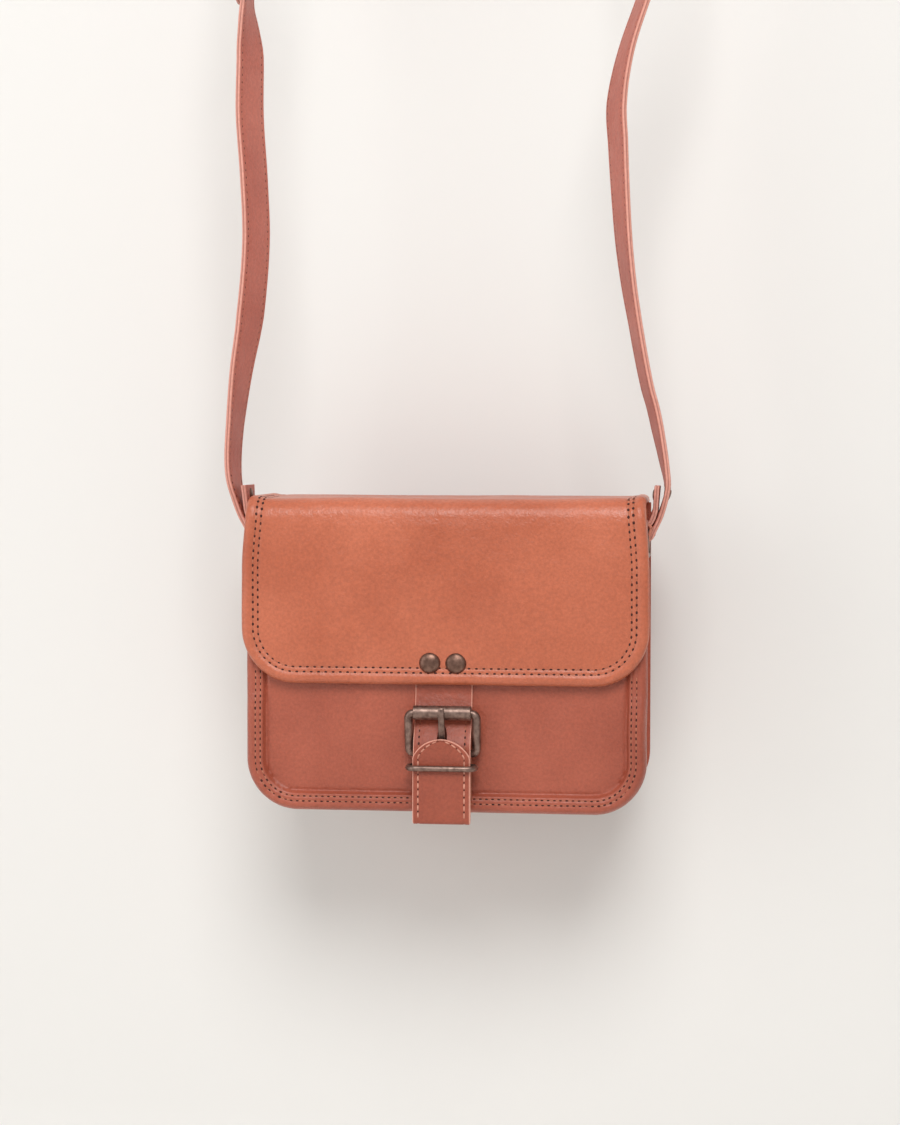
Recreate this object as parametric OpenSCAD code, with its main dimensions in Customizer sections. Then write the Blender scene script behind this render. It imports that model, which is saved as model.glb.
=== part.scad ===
/* [Bag body] */
// Width of the front and back panels
bag_w = 170; // [140:1:220]
// Height of the bag, from the flap fold to the bottom edge
bag_h = 133; // [118:1:180]
// Depth of the bag, from the front panel to the back panel
bag_d = 48; // [36:1:70]
// Radius of the lower corners of the panels
corner_r = 22; // [16:1:30]
// Thickness of the body leather
leather_t = 2.2; // [1.6:0.1:3]
// Distance that the side gussets lie in from the panel edges
gusset_inset = 5.5; // [4.5:0.1:8]
// Radius of the rolled edge round the panels
roll_r = 2; // [1.5:0.1:2.4]
// Width of the stitched border round the front panel
border_w = 8; // [6:0.5:12]

/* [Flap] */
// Height of the flap front, below the fold
flap_drop = 78.4; // [60:0.2:90]
// Distance that the flap reaches past each side of the panels
flap_overhang = 1; // [0:0.1:1.2]
// Radius of the lower corners of the flap
flap_r = 23; // [14:1:32]
// Thickness of the flap leather
flap_t = 2.4; // [1.8:0.1:3]
// Outer radius of the fold along the top front edge
fold_r = 9; // [7:0.5:14]
// Diameter of the dome rivets on the flap
rivet_d = 9; // [6:0.5:12]
// Distance between the two dome rivets
rivet_pitch = 11; // [10:0.5:14]

/* [Closure] */
// Width of the closure strap
closure_w = 24.2; // [18:0.2:30]
// Thickness of one layer of the closure strap
closure_t = 1.6; // [1.2:0.1:2]
// Distance that the closure strap reaches below the bag
closure_reach = 3.4; // [2:0.2:8]
// Wire diameter of the buckle frame
frame_wire_d = 3.6; // [3:0.1:4.5]
// Wire diameter of the keeper loop
keeper_wire_d = 2.4; // [2:0.1:3]
// Diameter of the magnetic snap
snap_d = 14; // [10:1:18]

/* [Buckles] */
// Distance from the buckle's pivot bar to its roller
buckle_pitch = 17.4; // [16:0.2:22]
// Outer diameter of the roller
roller_d = 6; // [5.4:0.1:7]
// Diameter of the bars that carry the roller and the prong
bar_d = 3; // [2.4:0.1:3.2]
// Width of the prong
prong_w = 3; // [2:0.1:3.4]

/* [Shoulder strap] */
// Width of the shoulder strap
strap_w = 20; // [16:1:26]
// Thickness of the shoulder strap, two stitched layers
strap_t = 2.6; // [2.2:0.1:3]
// Height of the hanging point above the flap
hang_h = 410; // [380:5:620]
// Width of the tapered ends that loop through the rings
strap_end_w = 14; // [10:1:15]
// Radius of the bow of the side rings, to the middle of the wire
ring_r = 12; // [11.5:0.5:15]
// Wire diameter of the side rings
ring_wire_d = 2.6; // [2.2:0.1:3]

/* [Hidden] */
$fn = 48;

// Colours
tan = [0.75, 0.42, 0.27];
russet = [0.70, 0.38, 0.30];
strap_red = [0.66, 0.36, 0.31];
edge_dark = [0.55, 0.27, 0.19];
cloth = [0.55, 0.45, 0.36];
brass = [0.47, 0.39, 0.32];
board = [0.35, 0.30, 0.26];

// Clearances
gap = 0.3;
run_gap = 0.08;
ring_gap = 0.2;
eps = 0.01;

// Places shared by several pieces. Body heights are counted from the top of the flap.
balance_y = 3;
half_w = bag_w / 2;
half_d = bag_d / 2;
lining_t = 0.8;
flap_half_w = half_w + flap_overhang;
front_top = -fold_r;
side_top = -flap_t - lining_t - 2.3;
border_rise = 1.4;
flap_in_y = -half_d - border_rise - 0.6;
flap_out_y = flap_in_y - lining_t - flap_t;
flap_bead_r = 1.9;
flap_bead_y = flap_in_y - flap_bead_r - 0.1;
flap_axis_y = half_d - flap_t / 2;
flap_axis_z = -flap_t / 2;

// Closure
snap_t = 1;
chape_t = 1.2;
chape_r = bar_d / 2 + 0.1;
chape_half_w = closure_w / 2 - 0.3;
pivot_y = -half_d - 2 * snap_t - gap - chape_t - chape_r;
pivot_z = -flap_drop - 28.8;
frame_in_w = closure_w / 2 + 0.5;
roller_out = 2.2;
closure_axis_y = -half_d - gap - closure_t / 2;
closure_axis_z = -flap_drop - closure_t;
layer_y = pivot_y - chape_r - chape_t - gap - closure_t / 2;
tail_y = layer_y - closure_t - gap;
keeper_z = pivot_z - 5.3;
keeper_front_y = tail_y - closure_t / 2 - 0.5 - keeper_wire_d / 2;
closure_low = -bag_h - closure_reach;
tail_top = pivot_z + 6.8;
tip_r = 13.4;

// Side rings and shoulder strap
ring_x = half_w - 1;
ring_z = -25;
shell_t = 1.4;
shell_r = ring_wire_d / 2 + ring_gap + shell_t;
sb_x = -half_w + 0.1;
sb_z = 243;
sb_chape_r = bar_d / 2 + 0.1;
sb_layer_x = sb_x - sb_chape_r - strap_t / 2;
sb_over_x = sb_layer_x - strap_t - gap;
sb_roller_out = 3.2;
sb_behind_x = sb_x - sb_roller_out + roller_d / 2 + gap + strap_t / 2;
sb_half_w = strap_w / 2 + 0.6;
tail_low = 211;
keeper_mid = 222;

// Route of the lower strap, from the left ring up to the adjusting buckle
left_route = [
    [-ring_x - 2.4, -13], [-half_w - 6.5, -4], [-half_w - 10.5, 5], [-half_w - 12, 15],
    [-half_w - 11, 31], [-half_w - 7.9, 54], [-half_w - 4.4, 78], [-half_w - 2.7, 109],
    [-half_w - 4.5, 137], [-half_w - 6.4, 164], [-half_w - 5, 190], [sb_layer_x, 215],
    [sb_layer_x, 229], [sb_layer_x, sb_z]
];
// Route of the long strap, from the right ring over the arch and down through the buckle
right_route = [
    [ring_x + 2.4, -13], [half_w + 5.5, -4], [half_w + 7.8, 4], [half_w + 7.1, 15],
    [half_w + 5, 29], [half_w + 3.6, 38], [half_w + 0.8, 47], [half_w - 3, 60],
    [half_w - 6.3, 74], [half_w - 9, 90], [half_w - 10.7, 109], [half_w - 12, 130],
    [half_w - 12.6, 149], [half_w - 13, 167], [half_w - 8.9, 189], [half_w - 0.5, 215],
    [half_w + 6, 240], [half_w + 8, 265], [half_w + 5, hang_h - 110], [half_w - 3, hang_h - 72],
    [half_w - 20, hang_h - 34], [half_w * 0.4, hang_h - 7], [0, hang_h + strap_t / 2],
    [-half_w * 0.4, hang_h - 7], [-half_w + 22, hang_h - 34], [-half_w + 8, hang_h - 68],
    [-half_w + 2, hang_h - 102], [sb_behind_x - 0.6, 284], [sb_behind_x, sb_z + 22],
    [sb_behind_x, sb_z + 16], [sb_behind_x - 3.4, sb_z + 10], [sb_over_x + 0.6, sb_z + 4.6],
    [sb_over_x, sb_z], [sb_over_x, sb_z - 10], [sb_over_x, tail_low + 10], [sb_over_x, tail_low]
];
// Route of the closure strap, from the flap edge down to the fold: y and height
closure_route = [
    [closure_axis_y, closure_axis_z], [closure_axis_y - 0.5, pivot_z + 23],
    [pivot_y - roller_out + roller_d / 2 + 0.6 + closure_t / 2, pivot_z + buckle_pitch],
    [pivot_y + 1.1, pivot_z + 13], [pivot_y - 2.4, pivot_z + 7], [layer_y, pivot_z + 2.8],
    [layer_y, pivot_z - 4], [layer_y, pivot_z - 14], [layer_y, closure_low + closure_t * 1.1]
];

// Smooth curve through a list of points, a few steps to each stretch
function end_point(p, i) = p[max(0, min(len(p) - 1, i))];
function spline(a, b, c, d, t) =
    0.5 * ((2 * b) + (c - a) * t + (2 * a - 5 * b + 4 * c - d) * t * t + (3 * b - a - 3 * c + d) * t * t * t);
function smooth(p, steps) = [
    for (i = [0:len(p) - 2], k = [0:steps - 1])
        spline(end_point(p, i - 1), p[i], p[i + 1], end_point(p, i + 2), k / steps),
    p[len(p) - 1]
];
function turn_left(v) = [-v[1], v[0]] / norm(v);
function normal_at(p, i) = turn_left(end_point(p, i + 1) - end_point(p, i - 1));
function band(p, t) = concat(
    [for (i = [0:len(p) - 1]) p[i] + normal_at(p, i) * t / 2],
    [for (i = [len(p) - 1:-1:0]) p[i] - normal_at(p, i) * t / 2]
);

// Frames
module on_strap() translate([0, 0, -hang_h]) children();
module on_bag() translate([0, balance_y, -hang_h]) children();
// An outline drawn in x and z, made thick along y
module slab_y(y0, y1) translate([0, y1, 0]) rotate([90, 0, 0]) linear_extrude(y1 - y0) children();
// An outline drawn in y and z, made thick along x, centred
module slab_x(w) rotate([90, 0, 90]) linear_extrude(w, center = true) children();
module box(x0, x1, y0, y1, z0, z1) translate([x0, y0, z0]) cube([x1 - x0, y1 - y0, z1 - z0]);
module rod_x(r, w) rotate([0, 90, 0]) cylinder(r = r, h = w, center = true);
module rod_y(r, w) rotate([90, 0, 0]) cylinder(r = r, h = w, center = true);

// Panel outline: straight top edge at z = top, round lower corners
module outline(w, top, low, r) {
    translate([-w / 2, low + r]) square([w, top - low - r]);
    translate([-w / 2 + r, low]) square([w - 2 * r, top - low]);
    for (s = [-1, 1]) translate([s * (w / 2 - r), low + r]) circle(r = r);
}

// Round roll down both sides and along the bottom of a panel
module edge_roll(w, top, low, r, roll, y) {
    side_x = w / 2 - roll;
    bend = r - roll;
    translate([0, y, 0]) {
        for (s = [-1, 1]) {
            translate([s * side_x, 0, low + r]) cylinder(r = roll, h = top - low - r);
            translate([s * (w / 2 - r), 0, low + r])
                rotate([90, 0, 0])
                    rotate_extrude(start = s > 0 ? -90 : 180, angle = 90) translate([bend, 0]) circle(r = roll);
        }
        translate([0, 0, low + roll]) rod_x(roll, w - 2 * r);
    }
}

// ---- Body ----
module front_roll() edge_roll(bag_w, front_top, -bag_h, corner_r, roll_r, -half_d + 0.2);
module back_roll() edge_roll(bag_w, -flap_t - 1.1, -bag_h, corner_r, roll_r, half_d - roll_r);

module front_panel() color(russet) on_bag() difference() {
    slab_y(-half_d, -half_d + leather_t)
        outline(bag_w - 2 * roll_r, front_top, -bag_h + roll_r, corner_r - roll_r);
    front_roll();
}

module front_border() color(russet) on_bag() {
    front_roll();
    slab_y(-half_d - border_rise, -half_d) difference() {
        outline(bag_w - 2 * roll_r, front_top, -bag_h + roll_r, corner_r - roll_r);
        translate([0, eps]) outline(bag_w - 2 * border_w, front_top, -bag_h + border_w, corner_r - border_w);
    }
}

module back_panel() color(russet) on_bag() difference() {
    slab_y(half_d - leather_t, half_d)
        outline(bag_w - 2 * roll_r, -flap_t - gap, -bag_h + roll_r, corner_r - roll_r);
    back_roll();
}

module back_border() color(edge_dark) on_bag() back_roll();

module gusset_space(inset) outline(bag_w - 2 * (gusset_inset + inset), 0, -bag_h + 2 + inset, corner_r - inset);
module gusset() color(tan) on_bag() difference() {
    slab_y(-half_d + leather_t, half_d - leather_t) intersection() {
        difference() {
            gusset_space(0);
            gusset_space(leather_t);
        }
        translate([-half_w, -bag_h]) square([bag_w, bag_h + side_top]);
    }
    front_roll();
    back_roll();
}

module lining() color(cloth) on_bag() difference() {
    slab_y(-half_d + leather_t, half_d - leather_t) intersection() {
        gusset_space(leather_t);
        translate([-half_w, -bag_h]) square([bag_w, bag_h + side_top - 2]);
    }
    slab_y(-half_d + leather_t + lining_t, half_d - leather_t - lining_t) gusset_space(leather_t + lining_t);
}

module base_board() color(board) on_bag() {
    low = -bag_h + 2 + leather_t + lining_t;
    board_w = bag_w - 2 * corner_r - 14;
    box(-board_w / 2, board_w / 2, -half_d + 4, half_d - 4, low, low + 1.6);
}

// Leather tab, sewn to the side gusset, with a loop round the ring's straight bar
tab_half_w = ring_r - ring_wire_d / 2 - 2;
tab_root = half_w - gusset_inset;
tab_low = ring_z - 24;
tab_face = tab_root + 3;
tab_loop_r = ring_wire_d / 2 + 0.1 + 1.3;
tab_rivet_y = 3.6;
tab_rivet_z = tab_low + 6;
tab_shank_r = 1;
module side_tab(s) color(edge_dark) on_strap() difference() {
    union() {
        translate([s * ring_x, 0, ring_z]) rod_y(tab_loop_r, 2 * tab_half_w);
        box(min(s * tab_root, s * tab_face), max(s * tab_root, s * tab_face),
            -tab_half_w, tab_half_w, tab_low, ring_z);
    }
    translate([s * ring_x, 0, ring_z]) rod_y(ring_wire_d / 2 + 0.1, 3 * tab_half_w);
    for (y = [-1, 1])
        translate([0, y * tab_rivet_y, tab_rivet_z]) rotate([0, s * 90, 0]) cylinder(r = tab_shank_r, h = bag_w);
}
module side_tab_left() side_tab(-1);
module side_tab_right() side_tab(1);

module tab_rivets() color(brass) on_strap()
    for (s = [-1, 1], y = [-1, 1])
        translate([s * tab_root, y * tab_rivet_y, tab_rivet_z]) rotate([0, s * 90, 0]) {
            cylinder(r = tab_shank_r, h = tab_face - tab_root + eps);
            translate([0, 0, tab_face - tab_root]) cylinder(r1 = 2.4, r2 = 1.6, h = 0.9);
        }

// D-shaped ring in the y-z plane: the bow carries the strap, the bar sits in the tab
module ring_bow(r, reach) rotate([0, 90, 0]) rotate([0, 0, 90])
    rotate_extrude(start = 90 - reach, angle = 2 * reach) translate([ring_r, 0]) circle(r = r);
module side_ring(s) color(brass) on_strap() translate([s * ring_x, 0, ring_z]) {
    ring_bow(ring_wire_d / 2, 90);
    rod_y(ring_wire_d / 2, 2 * ring_r);
    for (y = [-1, 1]) translate([0, y * ring_r, 0]) sphere(r = ring_wire_d / 2);
}
module side_ring_left() side_ring(-1);
module side_ring_right() side_ring(1);

snap_below_pivot = 10;
module snap_disc(y0, y1) translate([0, y1, pivot_z - snap_below_pivot])
    rotate([90, 0, 0]) cylinder(r = snap_d / 2, h = y1 - y0);
module snap_socket() color(brass) on_bag() snap_disc(-half_d - snap_t, -half_d);

// ---- Flap ----
// Section of the flap in y and z: top, round fold and front drop
module flap_section(skin, t, back) {
    fold_y = flap_out_y + fold_r;
    translate([fold_y, -skin - t]) square([back - fold_y, t]);
    translate([flap_out_y + skin, -flap_drop]) square([t, flap_drop - fold_r]);
    translate([fold_y, -fold_r]) intersection() {
        difference() {
            circle(r = fold_r - skin);
            circle(r = fold_r - skin - t);
        }
        translate([-fold_r, 0]) square(fold_r);
    }
}
module flap_front_outline(inset) slab_y(-bag_d, bag_d)
    outline(2 * (flap_half_w - inset), 1, -flap_drop + inset, flap_r - inset);
module flap_roll() edge_roll(2 * flap_half_w, -fold_r, -flap_drop, flap_r, flap_bead_r, flap_bead_y);

module flap_leather() color(tan) on_bag() {
    difference() {
        intersection() {
            slab_x(2 * flap_half_w) flap_section(0, flap_t, flap_axis_y);
            flap_front_outline(0.4);
        }
        flap_roll();
        rivet_places() cylinder(r = flap_shank_r, h = 20, center = true);
    }
    translate([0, flap_axis_y, flap_axis_z]) rod_x(flap_t / 2, 2 * flap_half_w - 0.8);
}

module flap_lining() color(cloth) on_bag() difference() {
    intersection() {
        slab_x(2 * flap_half_w - 5) flap_section(flap_t, lining_t, half_d - 4);
        flap_front_outline(2);
    }
    flap_roll();
    rivet_places() cylinder(r = flap_shank_r, h = 20, center = true);
}

module flap_edge_roll() color(tan) on_bag() flap_roll();

flap_shank_r = 1.5;
flap_shank = flap_t + lining_t + closure_t + 0.1;
module rivet_places() for (s = [-1, 1])
    translate([s * rivet_pitch / 2, flap_out_y, -flap_drop + 9.4]) rotate([90, 0, 0]) children();
module flap_rivets() color(brass) on_bag() rivet_places() {
    intersection() {
        translate([0, 0, -rivet_d * 0.3]) sphere(r = rivet_d * 0.583);
        cylinder(r = rivet_d / 2, h = 5);
    }
    translate([0, 0, -flap_shank]) cylinder(r = flap_shank_r, h = flap_shank);
}

module closure_anchor() color(tan) on_bag() difference() {
    box(-closure_w / 2, closure_w / 2, closure_axis_y - closure_t / 2, closure_axis_y + closure_t / 2,
        -flap_drop - 0.5, -flap_drop + 19);
    rivet_places() cylinder(r = flap_shank_r, h = 20, center = true);
}

// ---- Closure strap ----
slot_low = 2.1;
slot_high = 11.8;
module closure_strap() color(tan) on_bag() difference() {
    union() {
        slab_x(closure_w) polygon(band(smooth(closure_route, 5), closure_t));
        translate([0, closure_axis_y, closure_axis_z]) rod_x(closure_t / 2, closure_w);
        fold_back();
        intersection() {
            slab_x(closure_w) translate([tail_y - closure_t / 2, closure_low + closure_t * 1.1])
                square([closure_t, tail_top - closure_low - closure_t * 1.1]);
            tail_outline();
        }
    }
    slot_half_w = prong_w / 2 + 0.8;
    box(-slot_half_w, slot_half_w, pivot_y - 8, pivot_y + 6, pivot_z + slot_low, pivot_z + slot_high);
}
// The turn at the bottom, where the strap comes back up over itself
module fold_back() slab_x(closure_w) translate([(layer_y + tail_y) / 2, closure_low + closure_t * 1.1])
    intersection() {
        difference() {
            circle(r = closure_t + gap / 2);
            circle(r = gap / 2, $fn = 16);
        }
        translate([-2 * closure_t, -2 * closure_t]) square([4 * closure_t, 2 * closure_t]);
    }
// Round tip of the closure strap, seen from the front
module tail_outline() slab_y(-bag_d, 0) {
    translate([0, tail_top - tip_r]) circle(r = tip_r);
    translate([-closure_w / 2, closure_low - 5]) square([closure_w, tail_top - tip_r + 6.2 - closure_low + 5]);
}

module buckle_chape() color(edge_dark) on_bag() translate([0, pivot_y, pivot_z]) difference() {
    union() {
        rod_x(chape_r + chape_t, 2 * chape_half_w);
        box(-chape_half_w, chape_half_w, -chape_r - chape_t, chape_r + chape_t, -19, 0);
    }
    rod_x(chape_r, 3 * chape_half_w);
    box(-closure_w, closure_w, -chape_r, chape_r, -8.6, 0);
    box(-prong_w / 2 - 0.6, prong_w / 2 + 0.6, -6, 6, -3.8, 6);
}

module snap_stud() color(brass) on_bag() snap_disc(-half_d - 2 * snap_t - gap, -half_d - snap_t - gap);

// ---- Roller buckle: the pivot bar lies along x through the origin, the front is -y ----
module wire(a, b, r) {
    d = b - a;
    translate(a) rotate([0, acos(d[2] / norm(d)), atan2(d[1], d[0])]) cylinder(r = r, h = norm(d));
}
module roller_frame(in_w, out) {
    r = frame_wire_d / 2;
    x = in_w + r;
    wire([-x, 0, 0], [x, 0, 0], bar_d / 2);
    wire([-x, -out, buckle_pitch], [x, -out, buckle_pitch], bar_d / 2);
    for (s = [-1, 1]) {
        wire([s * x, 0, 0], [s * x, -out, buckle_pitch], r);
        translate([s * x, 0, 0]) sphere(r = r * 1.04);
        translate([s * x, -out, buckle_pitch]) sphere(r = r * 1.04);
    }
}
module frame_roller(in_w, out) translate([0, -out, buckle_pitch]) difference() {
    rod_x(roller_d / 2, 2 * in_w - 0.8);
    rod_x(bar_d / 2 + run_gap, 3 * in_w);
}
module frame_prong(out) {
    end_y = -out - roller_d / 2 - gap - 0.9;
    difference() {
        union() {
            rod_x(bar_d / 2 + run_gap + 1.1, prong_w);
            slab_x(prong_w) polygon(band([[0, 0], [end_y * 0.5, buckle_pitch * 0.47],
                [end_y, buckle_pitch * 0.94], [end_y - 0.1, buckle_pitch + 1.8]], 1.8));
        }
        rod_x(bar_d / 2 + run_gap, 3 * prong_w);
    }
}
module at_closure_buckle() on_bag() translate([0, pivot_y, pivot_z]) children();
module at_strap_buckle() on_strap() translate([sb_x, 0, sb_z]) rotate([0, 0, -90]) children();

module buckle_frame() color(brass) at_closure_buckle() roller_frame(frame_in_w, roller_out);
module buckle_roller() color(brass) at_closure_buckle() frame_roller(frame_in_w, roller_out);
module buckle_prong() color(brass) at_closure_buckle() frame_prong(roller_out);
module strap_buckle_frame() color(brass) at_strap_buckle() roller_frame(sb_half_w, sb_roller_out);
module strap_buckle_roller() color(brass) at_strap_buckle() frame_roller(sb_half_w, sb_roller_out);
module strap_buckle_prong() color(brass) at_strap_buckle() frame_prong(sb_roller_out);

// Wire loop round both layers of the closure strap
module keeper_loop() color(brass) on_bag() {
    r = keeper_wire_d / 2;
    x = closure_w / 2 + 0.8 + r;
    for (y = [pivot_y, keeper_front_y]) {
        translate([0, y, keeper_z]) rod_x(r, 2 * x);
        for (s = [-1, 1]) translate([s * x, y, keeper_z]) sphere(r = r);
    }
    for (s = [-1, 1]) wire([s * x, keeper_front_y, keeper_z], [s * x, pivot_y, keeper_z], r);
}

// ---- Shoulder strap ----
// Side view that narrows the strap towards the ring, in y and z
module strap_side(low, high) slab_x(3 * bag_w) polygon([
    [-strap_end_w / 2, low], [strap_end_w / 2, low], [strap_end_w / 2, -6], [strap_w / 2, 4],
    [strap_w / 2, high], [-strap_w / 2, high], [-strap_w / 2, 4], [-strap_end_w / 2, -6]
]);
module strap_band(route, t) rotate([90, 0, 0])
    linear_extrude(strap_w, center = true) polygon(band(smooth(route, 5), t));
// The end that turns round the ring's bow, with its inner layer reaching up to the rivets
module strap_end(s) {
    tail = [
        [s * (ring_x - 1.2), -12.6], [s * (half_w + 0.6), -8.8], [s * (half_w + 2.6), -5],
        [s * (half_w + 3.2), -1], [s * (half_w + 3.6), 5]
    ];
    intersection() {
        union() {
            strap_band(tail, shell_t);
            translate([s * ring_x, 0, ring_z]) ring_bow(shell_r, 50);
        }
        strap_side(-30, 20);
    }
}
module ring_bores() for (s = [-1, 1])
    translate([s * ring_x, 0, ring_z]) ring_bow(ring_wire_d / 2 + ring_gap, 89);

module strap_left() color(strap_red) on_strap() difference() {
    union() {
        intersection() {
            strap_band(left_route, strap_t);
            strap_side(-30, sb_z);
        }
        strap_end(-1);
        translate([sb_x, 0, sb_z]) rod_y(sb_chape_r + strap_t, strap_w);
        box(sb_x + sb_chape_r, sb_x + sb_chape_r + shell_t, -strap_w / 2, strap_w / 2, sb_z - 13, sb_z);
    }
    ring_bores();
    translate([sb_x, 0, sb_z]) rod_y(sb_chape_r, 2 * strap_w);
    box(sb_x - 8, sb_x + 8, -prong_w / 2 - 0.6, prong_w / 2 + 0.6, sb_z - 4, sb_z + 6);
    rivet_bores();
}

module strap_right() color(strap_red) on_strap() difference() {
    union() {
        intersection() {
            strap_band(right_route, strap_t);
            strap_side(-30, hang_h + 10);
        }
        strap_end(1);
    }
    ring_bores();
    box(sb_x - 14, sb_x + 4, -prong_w / 2 - 0.6, prong_w / 2 + 0.6, sb_z + 3, sb_z + 14.5);
    rivet_bores();
}

// Small rivets that close the folded strap ends
rivet_r = 1.2;
rivet_head_r = 2.6;
rivet_head_t = 0.8;
end_rivet_z = 1;
chape_rivet_x = sb_x + sb_chape_r + shell_t;
module rivet_bores() {
    for (s = [-1, 1])
        translate([s * half_w, 0, end_rivet_z]) rotate([0, s * 90, 0]) cylinder(r = rivet_r, h = 20);
    for (y = [-5, 5])
        translate([chape_rivet_x, y, sb_z - 9])
            rotate([0, -90, 0]) cylinder(r = rivet_r, h = strap_t + shell_t + 3);
}
module strap_end_rivets() color(brass) on_strap() {
    for (s = [-1, 1]) translate([s * (half_w + 1.5), 0, end_rivet_z]) rotate([0, s * 90, 0]) {
        cylinder(r = rivet_r, h = 6);
        cylinder(r = rivet_head_r, h = rivet_head_t);
    }
    for (y = [-5, 5]) translate([chape_rivet_x, y, sb_z - 9]) rotate([0, -90, 0]) {
        cylinder(r = rivet_r, h = strap_t + shell_t + 2);
        translate([0, 0, -rivet_head_t]) cylinder(r = rivet_head_r, h = rivet_head_t);
    }
}

// Leather loop that holds the free end of the shoulder strap
module strap_keeper() color(edge_dark) on_strap() translate([0, 0, keeper_mid]) difference() {
    out_x = sb_over_x - strap_t / 2 - gap;
    in_x = sb_layer_x + strap_t / 2 + gap;
    box(out_x - 1.4, in_x + 1.4, -strap_w / 2 - gap - 1.4, strap_w / 2 + gap + 1.4, -4, 4);
    box(out_x, in_x, -strap_w / 2 - gap, strap_w / 2 + gap, -5, 5);
}

front_panel();
front_border();
back_panel();
back_border();
gusset();
lining();
base_board();
side_tab_left();
side_tab_right();
tab_rivets();
side_ring_left();
side_ring_right();
snap_socket();
flap_leather();
flap_lining();
flap_edge_roll();
flap_rivets();
closure_anchor();
closure_strap();
buckle_chape();
snap_stud();
buckle_frame();
buckle_roller();
buckle_prong();
keeper_loop();
strap_left();
strap_right();
strap_buckle_frame();
strap_buckle_roller();
strap_buckle_prong();
strap_keeper();
strap_end_rivets();
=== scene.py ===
import math

import bpy
import numpy as np
from mathutils import Matrix, Vector, noise


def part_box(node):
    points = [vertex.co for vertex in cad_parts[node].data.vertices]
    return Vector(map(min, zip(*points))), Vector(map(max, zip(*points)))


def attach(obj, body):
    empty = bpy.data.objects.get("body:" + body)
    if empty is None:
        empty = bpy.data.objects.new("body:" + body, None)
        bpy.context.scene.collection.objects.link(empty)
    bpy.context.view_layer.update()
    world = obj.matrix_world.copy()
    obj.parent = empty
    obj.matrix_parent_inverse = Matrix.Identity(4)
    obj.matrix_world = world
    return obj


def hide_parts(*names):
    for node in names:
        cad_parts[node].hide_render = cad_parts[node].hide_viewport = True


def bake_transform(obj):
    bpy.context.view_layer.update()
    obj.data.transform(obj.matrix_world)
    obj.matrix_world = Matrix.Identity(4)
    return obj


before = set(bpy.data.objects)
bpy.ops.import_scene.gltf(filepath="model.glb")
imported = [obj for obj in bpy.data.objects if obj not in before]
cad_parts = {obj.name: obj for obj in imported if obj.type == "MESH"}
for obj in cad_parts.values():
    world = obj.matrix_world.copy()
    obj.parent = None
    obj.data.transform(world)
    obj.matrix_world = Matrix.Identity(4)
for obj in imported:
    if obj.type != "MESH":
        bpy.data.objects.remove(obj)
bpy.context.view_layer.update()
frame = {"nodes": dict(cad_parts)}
MM = 0.001

# ---- Camera ----
# A level portrait view of the hanging bag from a little right of the front and a little above.
# The aim is a point on the upper part of the flap, so that the strap's legs fill the upper half.
flap_low, flap_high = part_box("flap_leather")
TOP = flap_high[2]
FRONT = flap_low[1]
view_distance = 0.957
view_turn = math.radians(7)
view_rise = math.radians(3)
aim = Vector((0.0030, FRONT, TOP - 0.0268))
back_off = Vector((
    math.sin(view_turn) * math.cos(view_rise),
    -math.cos(view_turn) * math.cos(view_rise),
    math.sin(view_rise),
))
bpy.ops.object.select_all(action="DESELECT")
bpy.ops.object.camera_add(location=aim + back_off * view_distance)
camera = bpy.context.object
camera.rotation_mode = "QUATERNION"
camera.rotation_quaternion = (-back_off).to_track_quat("-Z", "Y")
camera.data.sensor_width = 36
camera.data.lens = 73.25
bpy.context.scene.camera = camera

# ---- Backdrop ----
# A pale painted wall close behind the bag that curves into a floor well below it.
# From behind, the wall lets the view through.
wall_y = 0.070
floor_z = -0.80
sweep_r = 0.10
floor_half = 1.8
floor_front = -2.2
wall_rise = 1.9


def shaped_sheet(name, columns, rows, place):
    """A grid whose points are moved one by one to place(column, row)."""
    bpy.ops.object.select_all(action="DESELECT")
    bpy.ops.mesh.primitive_grid_add(x_subdivisions=columns, y_subdivisions=rows, size=1)
    sheet = bpy.context.object
    sheet.name = name
    sheet.data.name = name
    points = [place(i, j) for j in range(rows + 1) for i in range(columns + 1)]
    sheet.data.vertices.foreach_set("co", np.array(points, dtype=np.float32).ravel())
    sheet.data.update()
    return sheet


def srgb(red, green, blue, alpha=1.0):
    """A colour given as the eye sees it, 0 to 255, as the shader wants it."""
    def straight(c):
        c = c / 255
        return c / 12.92 if c <= 0.04045 else ((c + 0.055) / 1.055) ** 2.4
    return (straight(red), straight(green), straight(blue), alpha)


def backdrop_point(i, j):
    x = -floor_half + 2 * floor_half * i / 8
    if j <= 4:
        return (x, floor_front + (wall_y - sweep_r - floor_front) * j / 4, floor_z)
    if j <= 16:
        turn = math.pi / 2 * (j - 4) / 12
        return (x, wall_y - sweep_r + sweep_r * math.sin(turn), floor_z + sweep_r * (1 - math.cos(turn)))
    return (x, wall_y, floor_z + sweep_r + wall_rise * (j - 16) / 4)


backdrop = shaped_sheet("backdrop", 8, 20, backdrop_point)
bpy.ops.object.shade_smooth()
paint = bpy.data.materials.new("wall_paint")
paint.use_nodes = True
nodes = paint.node_tree.nodes
links = paint.node_tree.links
shader = nodes["Principled BSDF"]
shader.inputs["Base Color"].default_value = srgb(229, 227, 223)
shader.inputs["Roughness"].default_value = 0.9
shader.inputs["Specular IOR Level"].default_value = 0.2
see_through = nodes.new("ShaderNodeBsdfTransparent")
which_side = nodes.new("ShaderNodeNewGeometry")
choose = nodes.new("ShaderNodeMixShader")
links.new(which_side.outputs["Backfacing"], choose.inputs["Fac"])
links.new(shader.outputs["BSDF"], choose.inputs[1])
links.new(see_through.outputs["BSDF"], choose.inputs[2])
links.new(choose.outputs["Shader"], nodes["Material Output"].inputs["Surface"])
backdrop.data.materials.append(paint)

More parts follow.
